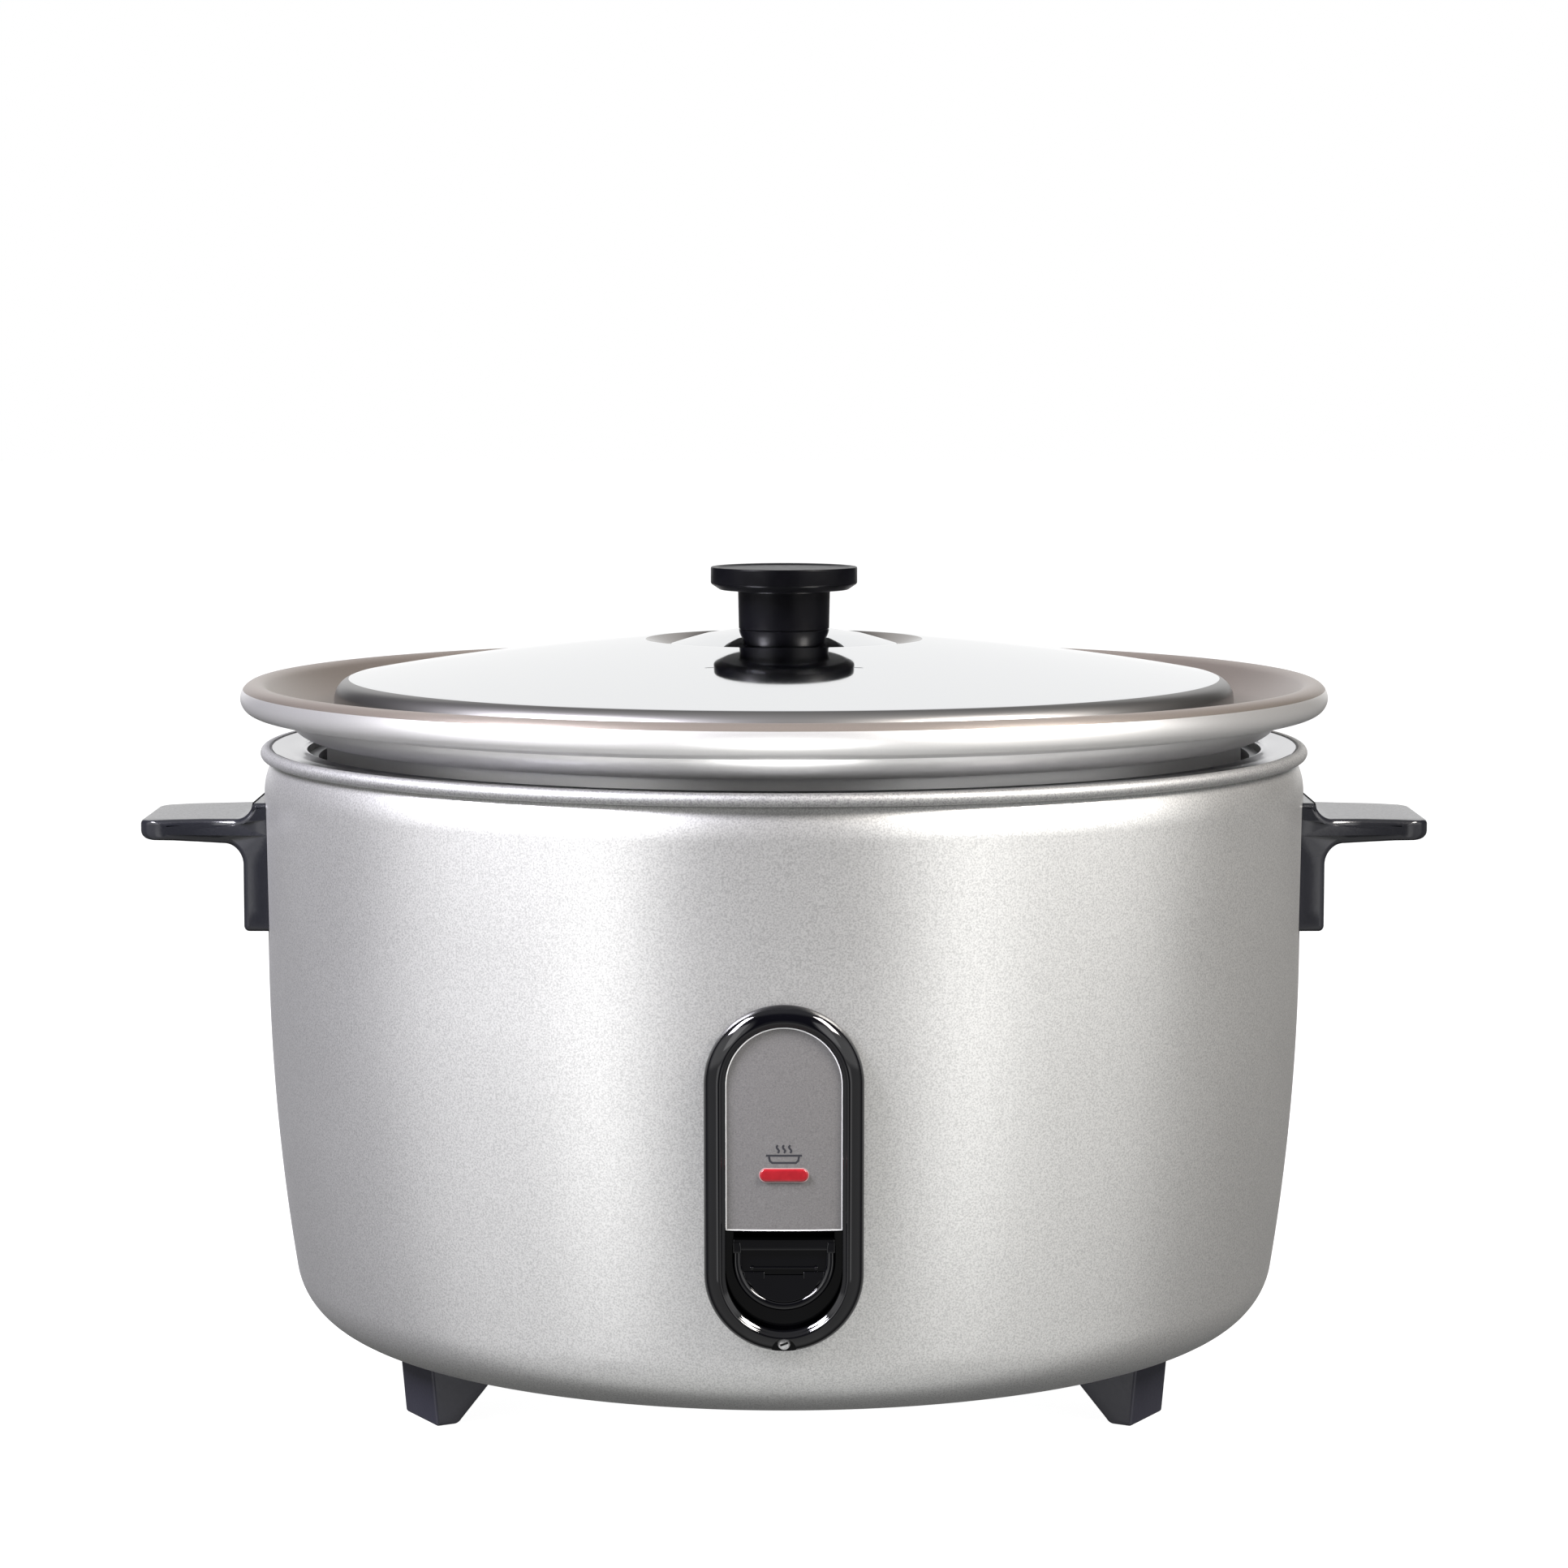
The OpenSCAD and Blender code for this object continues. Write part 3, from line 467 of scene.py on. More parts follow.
BODY_PAINT = metallic_paint("body_paint", (0.56, 0.56, 0.55), (0.76, 0.76, 0.745), 0.36)
# The ring has the body's silver paint; this copy is darker and rougher, and its darkness is painted shade.
RING_PAINT_SHADED = metallic_paint("ring_paint", (0.26, 0.26, 0.26), (0.42, 0.42, 0.415), 0.55)
RING_TOP = polished("ring_top", (0.36, 0.36, 0.385), 0.09)
PAN_METAL = brushed("pan_metal", (0.62, 0.615, 0.605), (0.78, 0.775, 0.765), 0.34, 0.44, metallic=0.8)
# The lid skirt is the lid's own polished steel, darkened: painted shade for the darker things that the skirt
# reflects.
LID_SKIRT_SHADED = polished("lid_skirt_shaded", (0.25, 0.245, 0.24), 0.34)
# The groove round the knob's boss is the lid's polished steel, darkened: painted shade in the recess.
LID_WELL_SHADED = polished("lid_well_shaded", (0.20, 0.18, 0.165), 0.12)
KNOB_BLACK = moulded("knob_black", (0.001, 0.001, 0.0015), (0.002, 0.002, 0.003), 0.30, 0.36, 300.0, 0.00002,
                     Specular_IOR_Level=0.08)
PAN_TOP = brushed("pan_top", (0.125, 0.107, 0.094), (0.205, 0.180, 0.158), 0.36, 0.46, metallic=0.5)
PAN_INSIDE = brushed("pan_inside", (0.58, 0.58, 0.57), (0.76, 0.76, 0.75), 0.30, 0.42, 1400.0)
LID_METAL = polished("lid_metal", (0.80, 0.81, 0.82), 0.03)
LID_UNDER = brushed("lid_under", (0.66, 0.66, 0.66), (0.80, 0.80, 0.80), 0.22, 0.32)
LINER_METAL = brushed("liner_metal", (0.46, 0.47, 0.49), (0.60, 0.61, 0.63), 0.32, 0.45, 700.0)
HANDLE_PLASTIC = moulded("handle_plastic", (0.009, 0.0095, 0.012), (0.014, 0.0145, 0.018), 0.17, 0.23)
GLOSS_BLACK = moulded("gloss_black", (0.001, 0.001, 0.0015), (0.002, 0.002, 0.003), 0.05, 0.08,
                      300.0, 0.00002)
FOOT_PLASTIC = moulded("foot_plastic", (0.016, 0.016, 0.024), (0.024, 0.024, 0.034), 0.34, 0.42)
PLATED = plated("plated_steel", (0.44, 0.45, 0.46), (0.66, 0.67, 0.68), 0.30)
BRASS = plated("brass_earth", (0.50, 0.36, 0.12), (0.72, 0.56, 0.24), 0.28)
HEATER_CAST = brushed("heater_cast", (0.46, 0.46, 0.46), (0.64, 0.64, 0.64), 0.36, 0.50, 900.0)
ELEMENT = plated("element_sheath", (0.12, 0.10, 0.09), (0.26, 0.24, 0.23), 0.45)
CERAMIC = moulded("ceramic", (0.72, 0.70, 0.64), (0.80, 0.78, 0.73), 0.22, 0.30, 300.0)
MAGNET = plated("magnet_black", (0.03, 0.03, 0.035), (0.06, 0.06, 0.07), 0.5, 0.4)
SWITCH = moulded("switch_plastic", (0.02, 0.02, 0.022), (0.035, 0.035, 0.04), 0.35, 0.45)
BUTTON = moulded("button_red", (0.35, 0.02, 0.02), (0.45, 0.03, 0.03), 0.3, 0.38)
WIRES = moulded("wire_sleeve", (0.25, 0.04, 0.03), (0.38, 0.07, 0.05), 0.45, 0.55)
BLANK = plated("plate_blank", (0.55, 0.55, 0.55), (0.66, 0.66, 0.66), 0.35)
# White paint on the label's thin border line stands in for the shine of a polished edge: a painted highlight.
LABEL_EDGE_HIGHLIGHT = moulded("label_edge_highlight", (0.78, 0.78, 0.78), (0.86, 0.86, 0.86), 0.3, 0.4)
SCREW_ZINC = plated("screw_zinc", (0.66, 0.66, 0.66), (0.90, 0.90, 0.90), 0.34, 0.3)
LABEL_INK = moulded("label_ink", (0.012, 0.012, 0.016), (0.02, 0.02, 0.026), 0.5, 0.6)
LAMP_EDGE = moulded("lamp_edge", (0.42, 0.26, 0.26), (0.50, 0.33, 0.33), 0.3, 0.4)
# Near-black paint for the bottom of the screw's cross recess: painted shade.
SHADED_HOLE = moulded("shaded_hole", (0.006, 0.006, 0.006), (0.012, 0.012, 0.012), 0.5, 0.6)


def label_grey():
    s = Shader("label_grey", (0.19, 0.187, 0.185), metallic=0.25, roughness=0.42)
    grain = s.noise(s.place(), 1800.0, 2.0, 0.7)
    s.tint(grain, (0.118, 0.115, 0.114), (0.200, 0.196, 0.194), 0.25, 0.75)
    s.bump(grain, 0.08, 0.0001)
    return s.mat


def lamp_red():
    s = Shader("lamp_red", (0.24, 0.006, 0.012), roughness=0.22, Coat_Weight=0.5, Coat_Roughness=0.06)
    s.tint(s.noise(s.place(), 260.0, 2.0), (0.21, 0.005, 0.010), (0.27, 0.008, 0.014))
    return s.mat


LABEL = label_grey()
LENS = lamp_red()


# ---- body ----
def build_shell():
    hem = 150 * MM
    flange_in = 12.4 * MM
    path = [(hem, Z_UNDER)] + body_side()
    path.append((path[-1][0] - flange_in + 3 * MM, Z_TOP))
    shell = lathe("shell_body", sheet(path, 1.2 * MM), 320)
    window_r = 24.3 * MM
    window_low = 61.6 * MM
    window_high = 106 * MM
    inside, outside = -0.19, -0.23
    outline = [(window_r, window_high), (-window_r, window_high)]
    outline += arc(0, window_low + window_r, window_r, 180, 360, 24)
    return cut(shell, prism("window", outline, inside, outside))


def build_ring():
    lip_r = 2.7 * MM
    lip = BODY_R + 1.5 * MM - lip_r
    outline = pts(BODY_R, Z_TOP, (-4, 0.02), (-1.2, 0.5))
    outline += arc(lip, Z_TOP + 3 * MM, lip_r, -70, 112, 18)
    outline += pts(lip, Z_TOP, (-1.5, 4.7), (-1.8, 4.75), (-2.1, 5.2))
    outline += pts(BODY_R, Z_TOP, (-9, 5.0), (-14.4, 4.5), (-15.2, 4.7))
    outline += arc(BODY_R - 16.5 * MM, Z_TOP + 3.5 * MM, 1.5 * MM, 70, 180, 8)
    outline += pts(BODY_R, Z_TOP, (-18, 1.1), (-5, 1.1))
    ring = lathe("rim_ring", outline, 320)
    # the ring's paint is the darkened copy of the body's silver, a painted shade
    paint(ring, RING_PAINT_SHADED, RING_TOP)
    for face, r, z in faces_of(ring):
        if r < lip - 1.9 * MM and z > Z_TOP + 3 * MM:
            face.material_index = 1
    return ring


def build_liner():
    radius = 194 * MM + GROWTH
    corner = 44 * MM
    floor = 57 * MM
    path = [(98 * MM, floor)] + arc(radius - corner, floor + corner, corner, -90, 0, 16)
    path += [(radius, Z_TOP - 40 * MM), (radius, Z_TOP + 1 * MM), (BODY_R - 6.4 * MM, Z_TOP + 1 * MM)]
    return lathe("liner_case", sheet(path, -1 * MM))


def build_heater():
    seat = HEATER_HIGH.z
    low = HEATER_LOW.z
    outer = HEATER_HIGH.x
    outline = pts(0, seat, (22, -0.6)) + pts(0, low, (22, 0), (36, 0)) + pts(0, seat, (38, -10), (70, -10))
    outline += pts(0, low, (73, 0), (97, 0)) + pts(0, seat, (100, -8)) + pts(outer, seat, (-2, -8), (0, -6))
    outline += arc(outer - 3 * MM, seat - 3 * MM, 3 * MM, 0, 90, 8)
    for k in range(6):
        outline += pts((104 - 14 * k) * MM, seat, (0.8, 0), (0, -0.4), (-0.8, 0))
    outline += pts(0, seat, (22.8, 0))
    return lathe("heater_casting", outline)


def build_sensor():
    top = SENSOR_HIGH.z
    r = SENSOR_HIGH.x
    outline = pts(0, top, (0, 0), (8, 0), (9, -0.3), (10, 0))
    outline += arc(r - 1.6 * MM, top - 1.6 * MM, 1.6 * MM, 90, 0, 8)
    outline += pts(r, SENSOR_LOW.z, (0, 0), (-1, 0)) + pts(r, top, (-1, -1.8), (-2.4, -1))
    outline += pts(0, top, (0, -1))
    return lathe("sensor_button", outline, 128)


# ---- handles ----
def handle_profile():
    """The handle's upright section as (x, z) points, anticlockwise, from the leg's lower inner corner.

    Also returns where the points on the body's face start.
    """
    root_x = BODY_R + 2 * MM
    tip = LEDGE_HIGH.x
    high = LEDGE_HIGH.z
    low = LEDGE_LOW.z
    leg = BODY_R + 6.4 * MM
    ledge = Z_TOP - 24.6 * MM
    thick = 8.2 * MM
    fillet = 8.4 * MM
    points = [(BODY_R - 0.5 * MM, low)]
    points += arc(leg - 2.2 * MM, low + 2.2 * MM, 2.2 * MM, -90, 0, 6)
    points += pts(leg, low, (0, 10), (0, 19))
    points += arc(leg + fillet, ledge - thick - 1.2 * MM - fillet, fillet, 180, 96, 12)
    points += pts(leg, ledge - thick, (20, -0.6), (32, -0.1))
    points += arc(tip - 3.4 * MM, ledge - thick + 3.4 * MM, 3.4 * MM, -84, 0, 8)
    points += arc(tip - 1.8 * MM, ledge - 1.8 * MM, 1.8 * MM, 0, 85, 6)
    points += pts(leg, ledge, (32, 0.45), (18, 0.75))
    points += arc(root_x + 8 * MM, ledge + 8.9 * MM, 8 * MM, 272, 186, 10)
    points += arc(root_x - 1.0 * MM, high - 1.2 * MM, 1.2 * MM, 0, 90, 5)
    points += [(BODY_R - 1.5 * MM, high)]
    points += [(BODY_R, high + (low - high) * k / 8) for k in range(1, 8)]
    return points, len(points) - 8


def build_handle(name, side):
    profile, inner_from = handle_profile()
    half = 34 * MM
    corner = 10 * MM
    edge = 2.4 * MM
    flare = 5 * MM
    root_edge = 1.6 * MM
    tip = LEDGE_HIGH.x
    neck = BODY_R + 14.8 * MM
    middle_z = LEDGE_LOW.z + 25 * MM
    centre = offset(profile + profile[:1], 1.0)[:-1]
    inwards = [(Vector(c) - Vector(p)).normalized() for c, p in zip(centre, profile)]
    rows = []
    steps = 44
    for station in range(steps + 1):
        y = half * sin(pi / 2 * (2 * station / steps - 1))
        over = max(abs(y) - (half - edge), 0)
        shrink = edge - sqrt(max(edge ** 2 - over ** 2, 0))
        turned = max(abs(y) - (half - corner), 0)
        reach = tip - corner + sqrt(max(corner ** 2 - turned ** 2, 0))
        row = []
        for k, (x, z) in enumerate(profile):
            inner = k >= inner_from or k == 0
            if not inner:
                x += inwards[k].x * shrink
                z += inwards[k].y * shrink
            elif k in (0, inner_from):
                z += copysign(min(shrink, root_edge), middle_z - z)
            if x > neck:
                x = neck + (x - neck) * (reach - neck) / (tip - neck)
            widen = min(max((BODY_R + 14 * MM - x) / (11 * MM), 0), 1)
            wide_y = y * (1 + flare / half * widen * widen * (3 - 2 * widen))
            if inner:
                x = skin_x(wide_y, z) + 0.05 * MM
            row.append((side * x, wide_y, z))
        rows.append(row)
    return loft(name, rows, 50.0)


# ---- feet ----
def build_foot(name, angle):
    out = 170 * MM
    top = Z_UNDER - 0.02 * MM
    outline = [(out + 2.5 * MM, top), (135.5 * MM, top), (147 * MM, top * 0.5)]
    outline += arc(162 * MM, 4 * MM, 4 * MM, 215, 270, 8)
    outline += arc(out - 1.2 * MM, 1.2 * MM, 1.2 * MM, 270, 355, 5)
    turn = radians(angle)

    def place(r, z, across):
        c, s = cos(turn), sin(turn)
        return (r * s + across * c, across * s - r * c, z)

    return prism(name, outline, -15 * MM, 15 * MM, 1.3 * MM, place)


# ---- switch front ----
def stadium(width, low, high):
    """Closed stadium outline with the inward direction at each point, anticlockwise from the lower right."""
    r = width / 2
    straight = high - low - 2 * r
    along, turning = 14, 56
    points = []
    for side, start, centre, first in ((1, low + r, high - r, 0), (-1, high - r, low + r, pi)):
        points += [((side * r, start + side * straight * k / along), (-side, 0)) for k in range(along)]
        for a in (first + pi * k / turning for k in range(turning)):
            points.append(((r * cos(a), centre + r * sin(a)), (-cos(a), -sin(a))))
    return points


def arch(half, low, spring, steps=40):
    """Outline with a half round top that springs at a height, anticlockwise from the lower right."""
    top = arc(0, spring, half, 0, 180, steps)[1:-1]
    return [(half, low), (half, spring)] + top + [(-half, spring), (-half, low)]


def front(x, z, h):
    """A point at height h above the body's front face."""
    return (x, -(skin_x(x, z) + h), z)


BEZEL_W = BEZEL_HIGH.x - BEZEL_LOW.x
POCKET_W = 43.9 * MM
POCKET_LOW = 64 * MM
POCKET_HIGH = 104 * MM
POCKET_BACK = 203.5 * MM
POCKET_SHEET = 1.5 * MM
CREST = 6 * MM
FLOOR = 2.7 * MM


def rim_section():
    """The bezel rim's section as (distance inwards, height): a steep flank, a slope, a crest and a step."""
    steps = [(0.05, 0.02), (0, 0.6), (0.06, 1.2), (0.2, 1.8), (0.45, 2.4), (0.8, 2.95), (1.25, 3.45),
             (1.75, 3.9), (2.3, 4.3), (2.9, 4.65), (3.5, 4.95), (4.1, 5.2), (4.7, 5.42), (5.2, 5.57),
             (5.6, 5.65), (6.0, 5.6), (6.3, 5.42), (6.6, 5.1), (6.85, 4.75), (7.2, 4.45), (7.6, 4.1),
             (8.05, 3.6), (8.05, 0.4), (7.0, 0.02)]
    scale = (BEZEL_W - POCKET_W) / 2 / 8.05
    return [(d * scale, h * MM) for d, h in steps]


def build_bezel():
    section = rim_section()
    rows = [[front(x + nx * d, z + nz * d, h) for d, h in section]
            for (x, z), (nx, nz) in stadium(BEZEL_W, BEZEL_LOW.z, BEZEL_HIGH.z)]
    rim = loft("bezel_rim", rows, 24.0, closed=True)
    notch = arc(0, BEZEL_LOW.z + 1.3 * MM, 4.6 * MM, 0, 337.5, 15)
    notch_floor, outside = -0.2076, -0.24
    parts = [cut(rim, prism("notch", notch, notch_floor, outside))]
    # backing plate under the label
    outline = arch(POCKET_W / 2, POCKET_HIGH, BEZEL_HIGH.z - BEZEL_W / 2, 36)
    parts.append(curved_panel("bezel_floor", outline, 0.2 * MM, FLOOR))
    # pocket: wall and back
    wall = 1.8 * MM
    lip = CREST - 2.4 * MM
    behind = -POCKET_BACK + POCKET_SHEET
    rows = []
    for (x, z), (ox, oz) in zip(pocket_outline(0), pocket_outline(wall)):
        mouth = lip if z < POCKET_HIGH - 0.5 * MM else FLOOR + 0.6 * MM
        rows.append([front(x, z, mouth), (x, -POCKET_BACK, z), (x * 0.985, behind, z), (ox, behind, oz),
                     front(ox, oz, 0.4 * MM)])
    parts.append(loft("pocket_wall", rows, closed=True))
    parts.append(pocket_back())
    return join("bezel_front", parts)


def pocket_outline(grow):
    """Outline of the lever's pocket: a half round bottom and a straight top, grown outwards."""
    half = POCKET_W / 2 + grow
    cz = POCKET_LOW + POCKET_W / 2
    top = POCKET_HIGH + grow
    points = arc(0, cz, half, 180, 360, 48)
    points += [(half, cz + (top - cz) * k / 6) for k in range(1, 6)]
    points += [(half - 2 * half * k / 16, top) for k in range(17)]
    points += [(-half, top + (cz - top) * k / 6) for k in range(1, 6)]
    return points


def curved_panel(name, outline, low, high):
    """A closed panel between two heights over the body's front face, filling an outline."""
    bm = bmesh.new()
    bm.faces.new([bm.verts.new((x, z, 0)) for x, z in outline])
    for axis, count in ((0, 26), (1, 34)):
        least = min(p[axis] for p in outline)
        span = max(p[axis] for p in outline) - least
        normal = Vector((1 - axis, axis, 0))
        for k in range(1, count):
            geom = bm.verts[:] + bm.edges[:] + bm.faces[:]
            at = least + span * k / count
            bmesh.ops.bisect_plane(bm, geom=geom, plane_co=normal * at, plane_no=normal)
    made = bmesh.ops.extrude_face_region(bm, geom=bm.faces[:])
    for v in made["geom"]:
        if isinstance(v, bmesh.types.BMVert):
            v.co.z = 1
    for v in bm.verts:
        v.co = Vector(front(v.co.x, v.co.y, low + (high - low) * v.co.z))
    return finish_mesh(name, bm, 38.0)


def pocket_back():
    """The pocket's back with the slot that the lever's neck passes through."""
    half = POCKET_W / 2
    plate = arc(0, POCKET_LOW + half, half, 180, 360, 40) + [(half, POCKET_HIGH), (-half, POCKET_HIGH)]
    slot = pts(0, Z_UNDER, (-7, 47.4), (7, 47.4), (7, 67.5), (-7, 67.5))
    back = prism("pocket_back", plate, -POCKET_BACK, -POCKET_BACK + POCKET_SHEET)
    before, behind = -0.21, -0.19
    return cut(back, prism("slot", slot, before, behind))


def build_label():
    half = POCKET_W / 2 - 0.15 * MM
    low = LABEL_LOW.z
    spring = LABEL_HIGH.z - half
    outline = arch(half, low, spring)
    plate = curved_panel("label_face", outline, FLOOR, FLOOR + 0.75 * MM)
    paint(plate, LABEL)
    # border, a thin raised line just inside the edge, painted white as a painted highlight for the shine of a
    # polished edge
    line = 0.42 * MM
    inner = arch(half - line, low + line, spring)
    rows = []
    for point in resample(outline, 200):
        inside = nearest_on(inner, point)
        rows.append([front(*p, FLOOR + h * MM) for p, h in
                     ((point, 0.3), (point, 0.80), (inside, 0.80), (inside, 0.3))])
    border = loft("label_border_highlight", rows, closed=True)
    paint(border, LABEL_EDGE_HIGHLIGHT)
    return join("label_front", [plate, border, lamp_edge()] + pictogram())


def lamp_edge():
    """A thin pale line round the lamp's window."""
    steps = 72
    rows = []
    for a in (TAU * k / steps for k in range(steps)):
        x = copysign(LENS_HALF_W - LENS_HALF_H, cos(a))
        row = []
        for grow, h in ((0.05, -0.3), (0.05, 0.86), (0.32, 0.86), (0.32, -0.3)):
            r = LENS_HALF_H + grow * MM
            row.append(front(x + r * cos(a), LENS_Z + r * sin(a), FLOOR + h * MM))
        rows.append(row)
    edge = loft("lamp_edge", rows, closed=True)
    paint(edge, LAMP_EDGE)
    return edge


def resample(outline, count):
    """Points at even steps along a closed outline."""
    loop = [Vector(p) for p in outline]
    lengths = [(loop[(i + 1) % len(loop)] - loop[i]).length for i in range(len(loop))]
    total = sum(lengths)
    points = []
    i = 0
    passed = 0.0
    for k in range(count):
        target = total * k / count
        while passed + lengths[i] < target:
            passed += lengths[i]
            i += 1
        t = (target - passed) / lengths[i]
        points.append(tuple(loop[i].lerp(loop[(i + 1) % len(loop)], t)))
    return points


def nearest_on(outline, point):
    """The nearest point of a closed outline."""
    p = Vector(point)
    best = None
    for i, a in enumerate(outline):
        a = Vector(a)
        b = Vector(outline[(i + 1) % len(outline)])
        t = max(0, min(1, (p - a).dot(b - a) / (b - a).length_squared))
        q = a.lerp(b, t)
        if best is None or (q - p).length < (best - p).length:
            best = q
    return tuple(best)


def ink_line(points, width):
    """A printed line on the label as a thin raised strip."""
    low = FLOOR + 0.74 * MM
    high = low + 0.05 * MM
    rows = [[front(*p, low), front(*p, high), front(*q, high), front(*q, low)]
            for p, q in zip(offset(points, width / 2), offset(points, -width / 2))]
    strip = loft("ink", rows)
    paint(strip, LABEL_INK)
    return strip


def pictogram():
    """A generic pot with three wisps of steam, above the lamp."""
    z = LENS_HIGH.z + 2.2 * MM
    w = 5.6 * MM
    lines = [[(-w, z + 2.6 * MM), (-w + 0.3 * MM, z + 0.9 * MM)] +
             [((w - 1.2 * MM) * k / 5, z + 0.15 * MM) for k in range(-5, 6)] +
             [(w - 0.3 * MM, z + 0.9 * MM), (w, z + 2.6 * MM)],
             [((w + 1.1 * MM) * k / 6, z + 2.9 * MM) for k in range(-6, 7)]]
    for k in (-1, 0, 1):
        x = k * 2.3 * MM
        lines.append([(x + 0.45 * MM * sin(t * 1.05), z + 3.9 * MM + t * 0.5 * MM) for t in range(7)])
    return [ink_line(line, 0.75 * MM) for line in lines]


def build_lens():
    """The lamp's flat window with rounded edges."""
    reach = LENS_HALF_W - LENS_HALF_H
    bm = bmesh.new()
    rings = []
    for shrink, depth in ((0, 4.0), (0, 0.6), (0.08, 0.3), (0.25, 0.1), (0.5, 0.02), (1.2, 0.0)):
        r = LENS_HALF_H - shrink * MM
        outline = arc(reach, LENS_Z, r, -90, 90, 16) + arc(-reach, LENS_Z, r, 90, 270, 16)
        rings.append([bm.verts.new((x, LENS_LOW.y + depth * MM, z)) for x, z in outline])
    for a, b in zip(rings, rings[1:]):
        for k in range(len(a)):
            m = (k + 1) % len(a)
            bm.faces.new((a[k], a[m], b[m], b[k]))
    bm.faces.new(rings[0][::-1])
    bm.faces.new(rings[-1])
    return finish_mesh("lamp_window", bm, 50.0)


# ---- lever ----
def build_lever():
    half = (LEVER_HIGH.x - LEVER_LOW.x) / 2
    high = LEVER_HIGH.z
    y_face = LEVER_LOW.y
    cz = LEVER_LOW.z + half

    def place(x, z, d):
        return (x, y_face + d, z)

    def raised(name, outline, near, bevel):
        """A shape in millimetres from the middle and down from the top, from a depth back to the plate."""
        outline = [(x * MM, high - down * MM) for x, down in outline]
        parts.append(prism(name, outline, near * MM, 3 * MM, bevel * MM, place))

    parts = []
    # main plate with a half round bottom
    plate = half - 0.4 * MM
    outline = arc(0, cz, plate, 180, 360, 40) + [(plate, high - 0.6 * MM), (-plate, high - 0.6 * MM)]
    parts.append(prism("lever_plate", outline, 2.2 * MM, 5 * MM, 0.4 * MM, place))
    # flat band along the top; a tab, a block and a dot at each end
    end = half / MM - 0.3
    raised("lever_band", [(end, 4.4), (end, 0), (-end, 0), (-end, 4.4)], 0.35, 0.5)
    features = (
        ("lever_tab", [(end, 5.4), (end, 1.2), (end - 2.7, 1.2), (end - 3.1, 3.2), (end - 3.1, 5.4)], 0, 0.4),
        ("lever_block", [(7.2, 12.7), (15.2, 12.7), (14.6, 15.8), (12.4, 18.0), (7.2, 18.0)], 1.3, 0.4),
        ("lever_dot", [(11.4, 11.8), (12.6, 11.8), (12.6, 10.6), (11.4, 10.6)], 0.6, 0.35),
    )
    for side in (-1, 1):
        for name, outline, near, bevel in features:
            raised(name, [(side * x, down) for x, down in outline][::side], near, bevel)
    # thin rib across the recess
    raised("lever_rib", [(-12, 11.5), (12, 11.5), (12, 10.9), (-12, 10.9)], 1.0, 0.2)
    # rounded rim down both sides and round the bottom
    middle = half - 1.85 * MM
    path = [(-middle, high - 3 * MM)] + arc(0, cz, middle, 180, 360, 56) + [(middle, high - 3 * MM)]
    section = [(1.8 * cos(t), 2.4 - 2.1 * sin(t)) for t in (pi * i / 12 for i in range(13))]
    section += [(-1.8, 3.4), (1.8, 3.4)]
    rows = []
    for x, z in path:
        out = Vector((x, z - cz)).normalized() if z < cz else Vector((copysign(1, x), 0))
        rows.append([place(x + out.x * a * MM, z + out.y * a * MM, d * MM) for a, d in section])
    parts.append(loft("lever_rim", rows))
    # thumb facet under the recess, leaning outwards at the bottom
    facet = arc(0, cz, half - 3.4 * MM, 212, 328, 24)
    top = high - 19.0 * MM
    facet += [(facet[-1][0] - 1.0 * MM, top), (facet[0][0] + 1.0 * MM, top)]

    def lean(x, z, d):
        t = min(max((top - z) / (6 * MM), 0), 1)
        return (x, y_face + d - (0.8 * MM * t if d < 2 * MM else 0), z)

    parts.append(prism("lever_facet", facet, 1.4 * MM, 3 * MM, 0.3 * MM, lean))
    # neck to the arm
    neck = pts(0, Z_UNDER + 66 * MM, (-5.5, -10), (5.5, -10), (5.5, 0), (-5.5, 0))
    parts.append(prism("lever_neck", neck, 4 * MM, 14.4 * MM, 0.4 * MM, place))
    return join("lever_cap", parts)


def build_screw():
    """Pan-head screw with a cross recess, facing the front."""
    centre_z = (SCREW_HIGH.z + SCREW_LOW.z) / 2
    radius = (SCREW_HIGH.z - SCREW_LOW.z) / 2
    outline = [(0, 0)] + [(radius * sin(a), -1.3 * MM * (1 - cos(a)))
                          for a in (radians(11.25 * k) for k in range(1, 9))]
    outline += [(radius * 0.98, -1.5 * MM)] + pts(0, 0, (1.4, -1.5), (1.4, -6), (0, -6))
    head = lathe("screw_head", outline, 64)
    arm = pts(0, 0, (-1.5, -0.42), (1.5, -0.42), (1.5, 0.42), (-1.5, 0.42))
    for turn in (20, 110):
        c, s = cos(radians(turn)), sin(radians(turn))
        head = cut(head, prism("cross", arm, -0.8 * MM, 1 * MM, 0,
                               lambda x, z, d: (x * c - z * s, x * s + z * c, d)))
    paint(head, SCREW_ZINC, SHADED_HOLE)
    # faces deep in the cross recess take the near-black paint, a painted shade
    for face, r, z in faces_of(head):
        if r < 1.6 * MM and -1 * MM < z < -0.3 * MM:
            face.material_index = 1
    for v in head.data.vertices:
        x, y, z = v.co
        v.co = (x, SCREW_LOW.y - z, centre_z + y)
    return head


def build_gland():
    r = 12 * MM
    out = GLAND_HIGH.y
    near = 209.6 * MM
    inside = 198 * MM
    bore = 4.6 * MM
    edge = 1.0 * MM
    zc = (GLAND_HIGH.z + GLAND_LOW.z) / 2
    outline = [(bore, inside), (8 * MM, inside), (8 * MM, near - 0.4 * MM)]
    outline += pts(r, near, (-0.6, 0), (0, 0.5), (0, 1.6), (-0.5, 2.2))
    outline += pts(0, near, (10.2, 2.6), (9.4, 3.4)) + pts(0, out, (9.2, -1.4))
    outline += arc(8.2 * MM, out - edge, edge, 0, 90, 5) + arc(bore + edge, out - edge, edge, 90, 180, 5)
    gland = lathe("lead_bush", outline, 96)
    for v in gland.data.vertices:
        x, y, z = v.co
        v.co = (x, z, zc - y)
    return gland


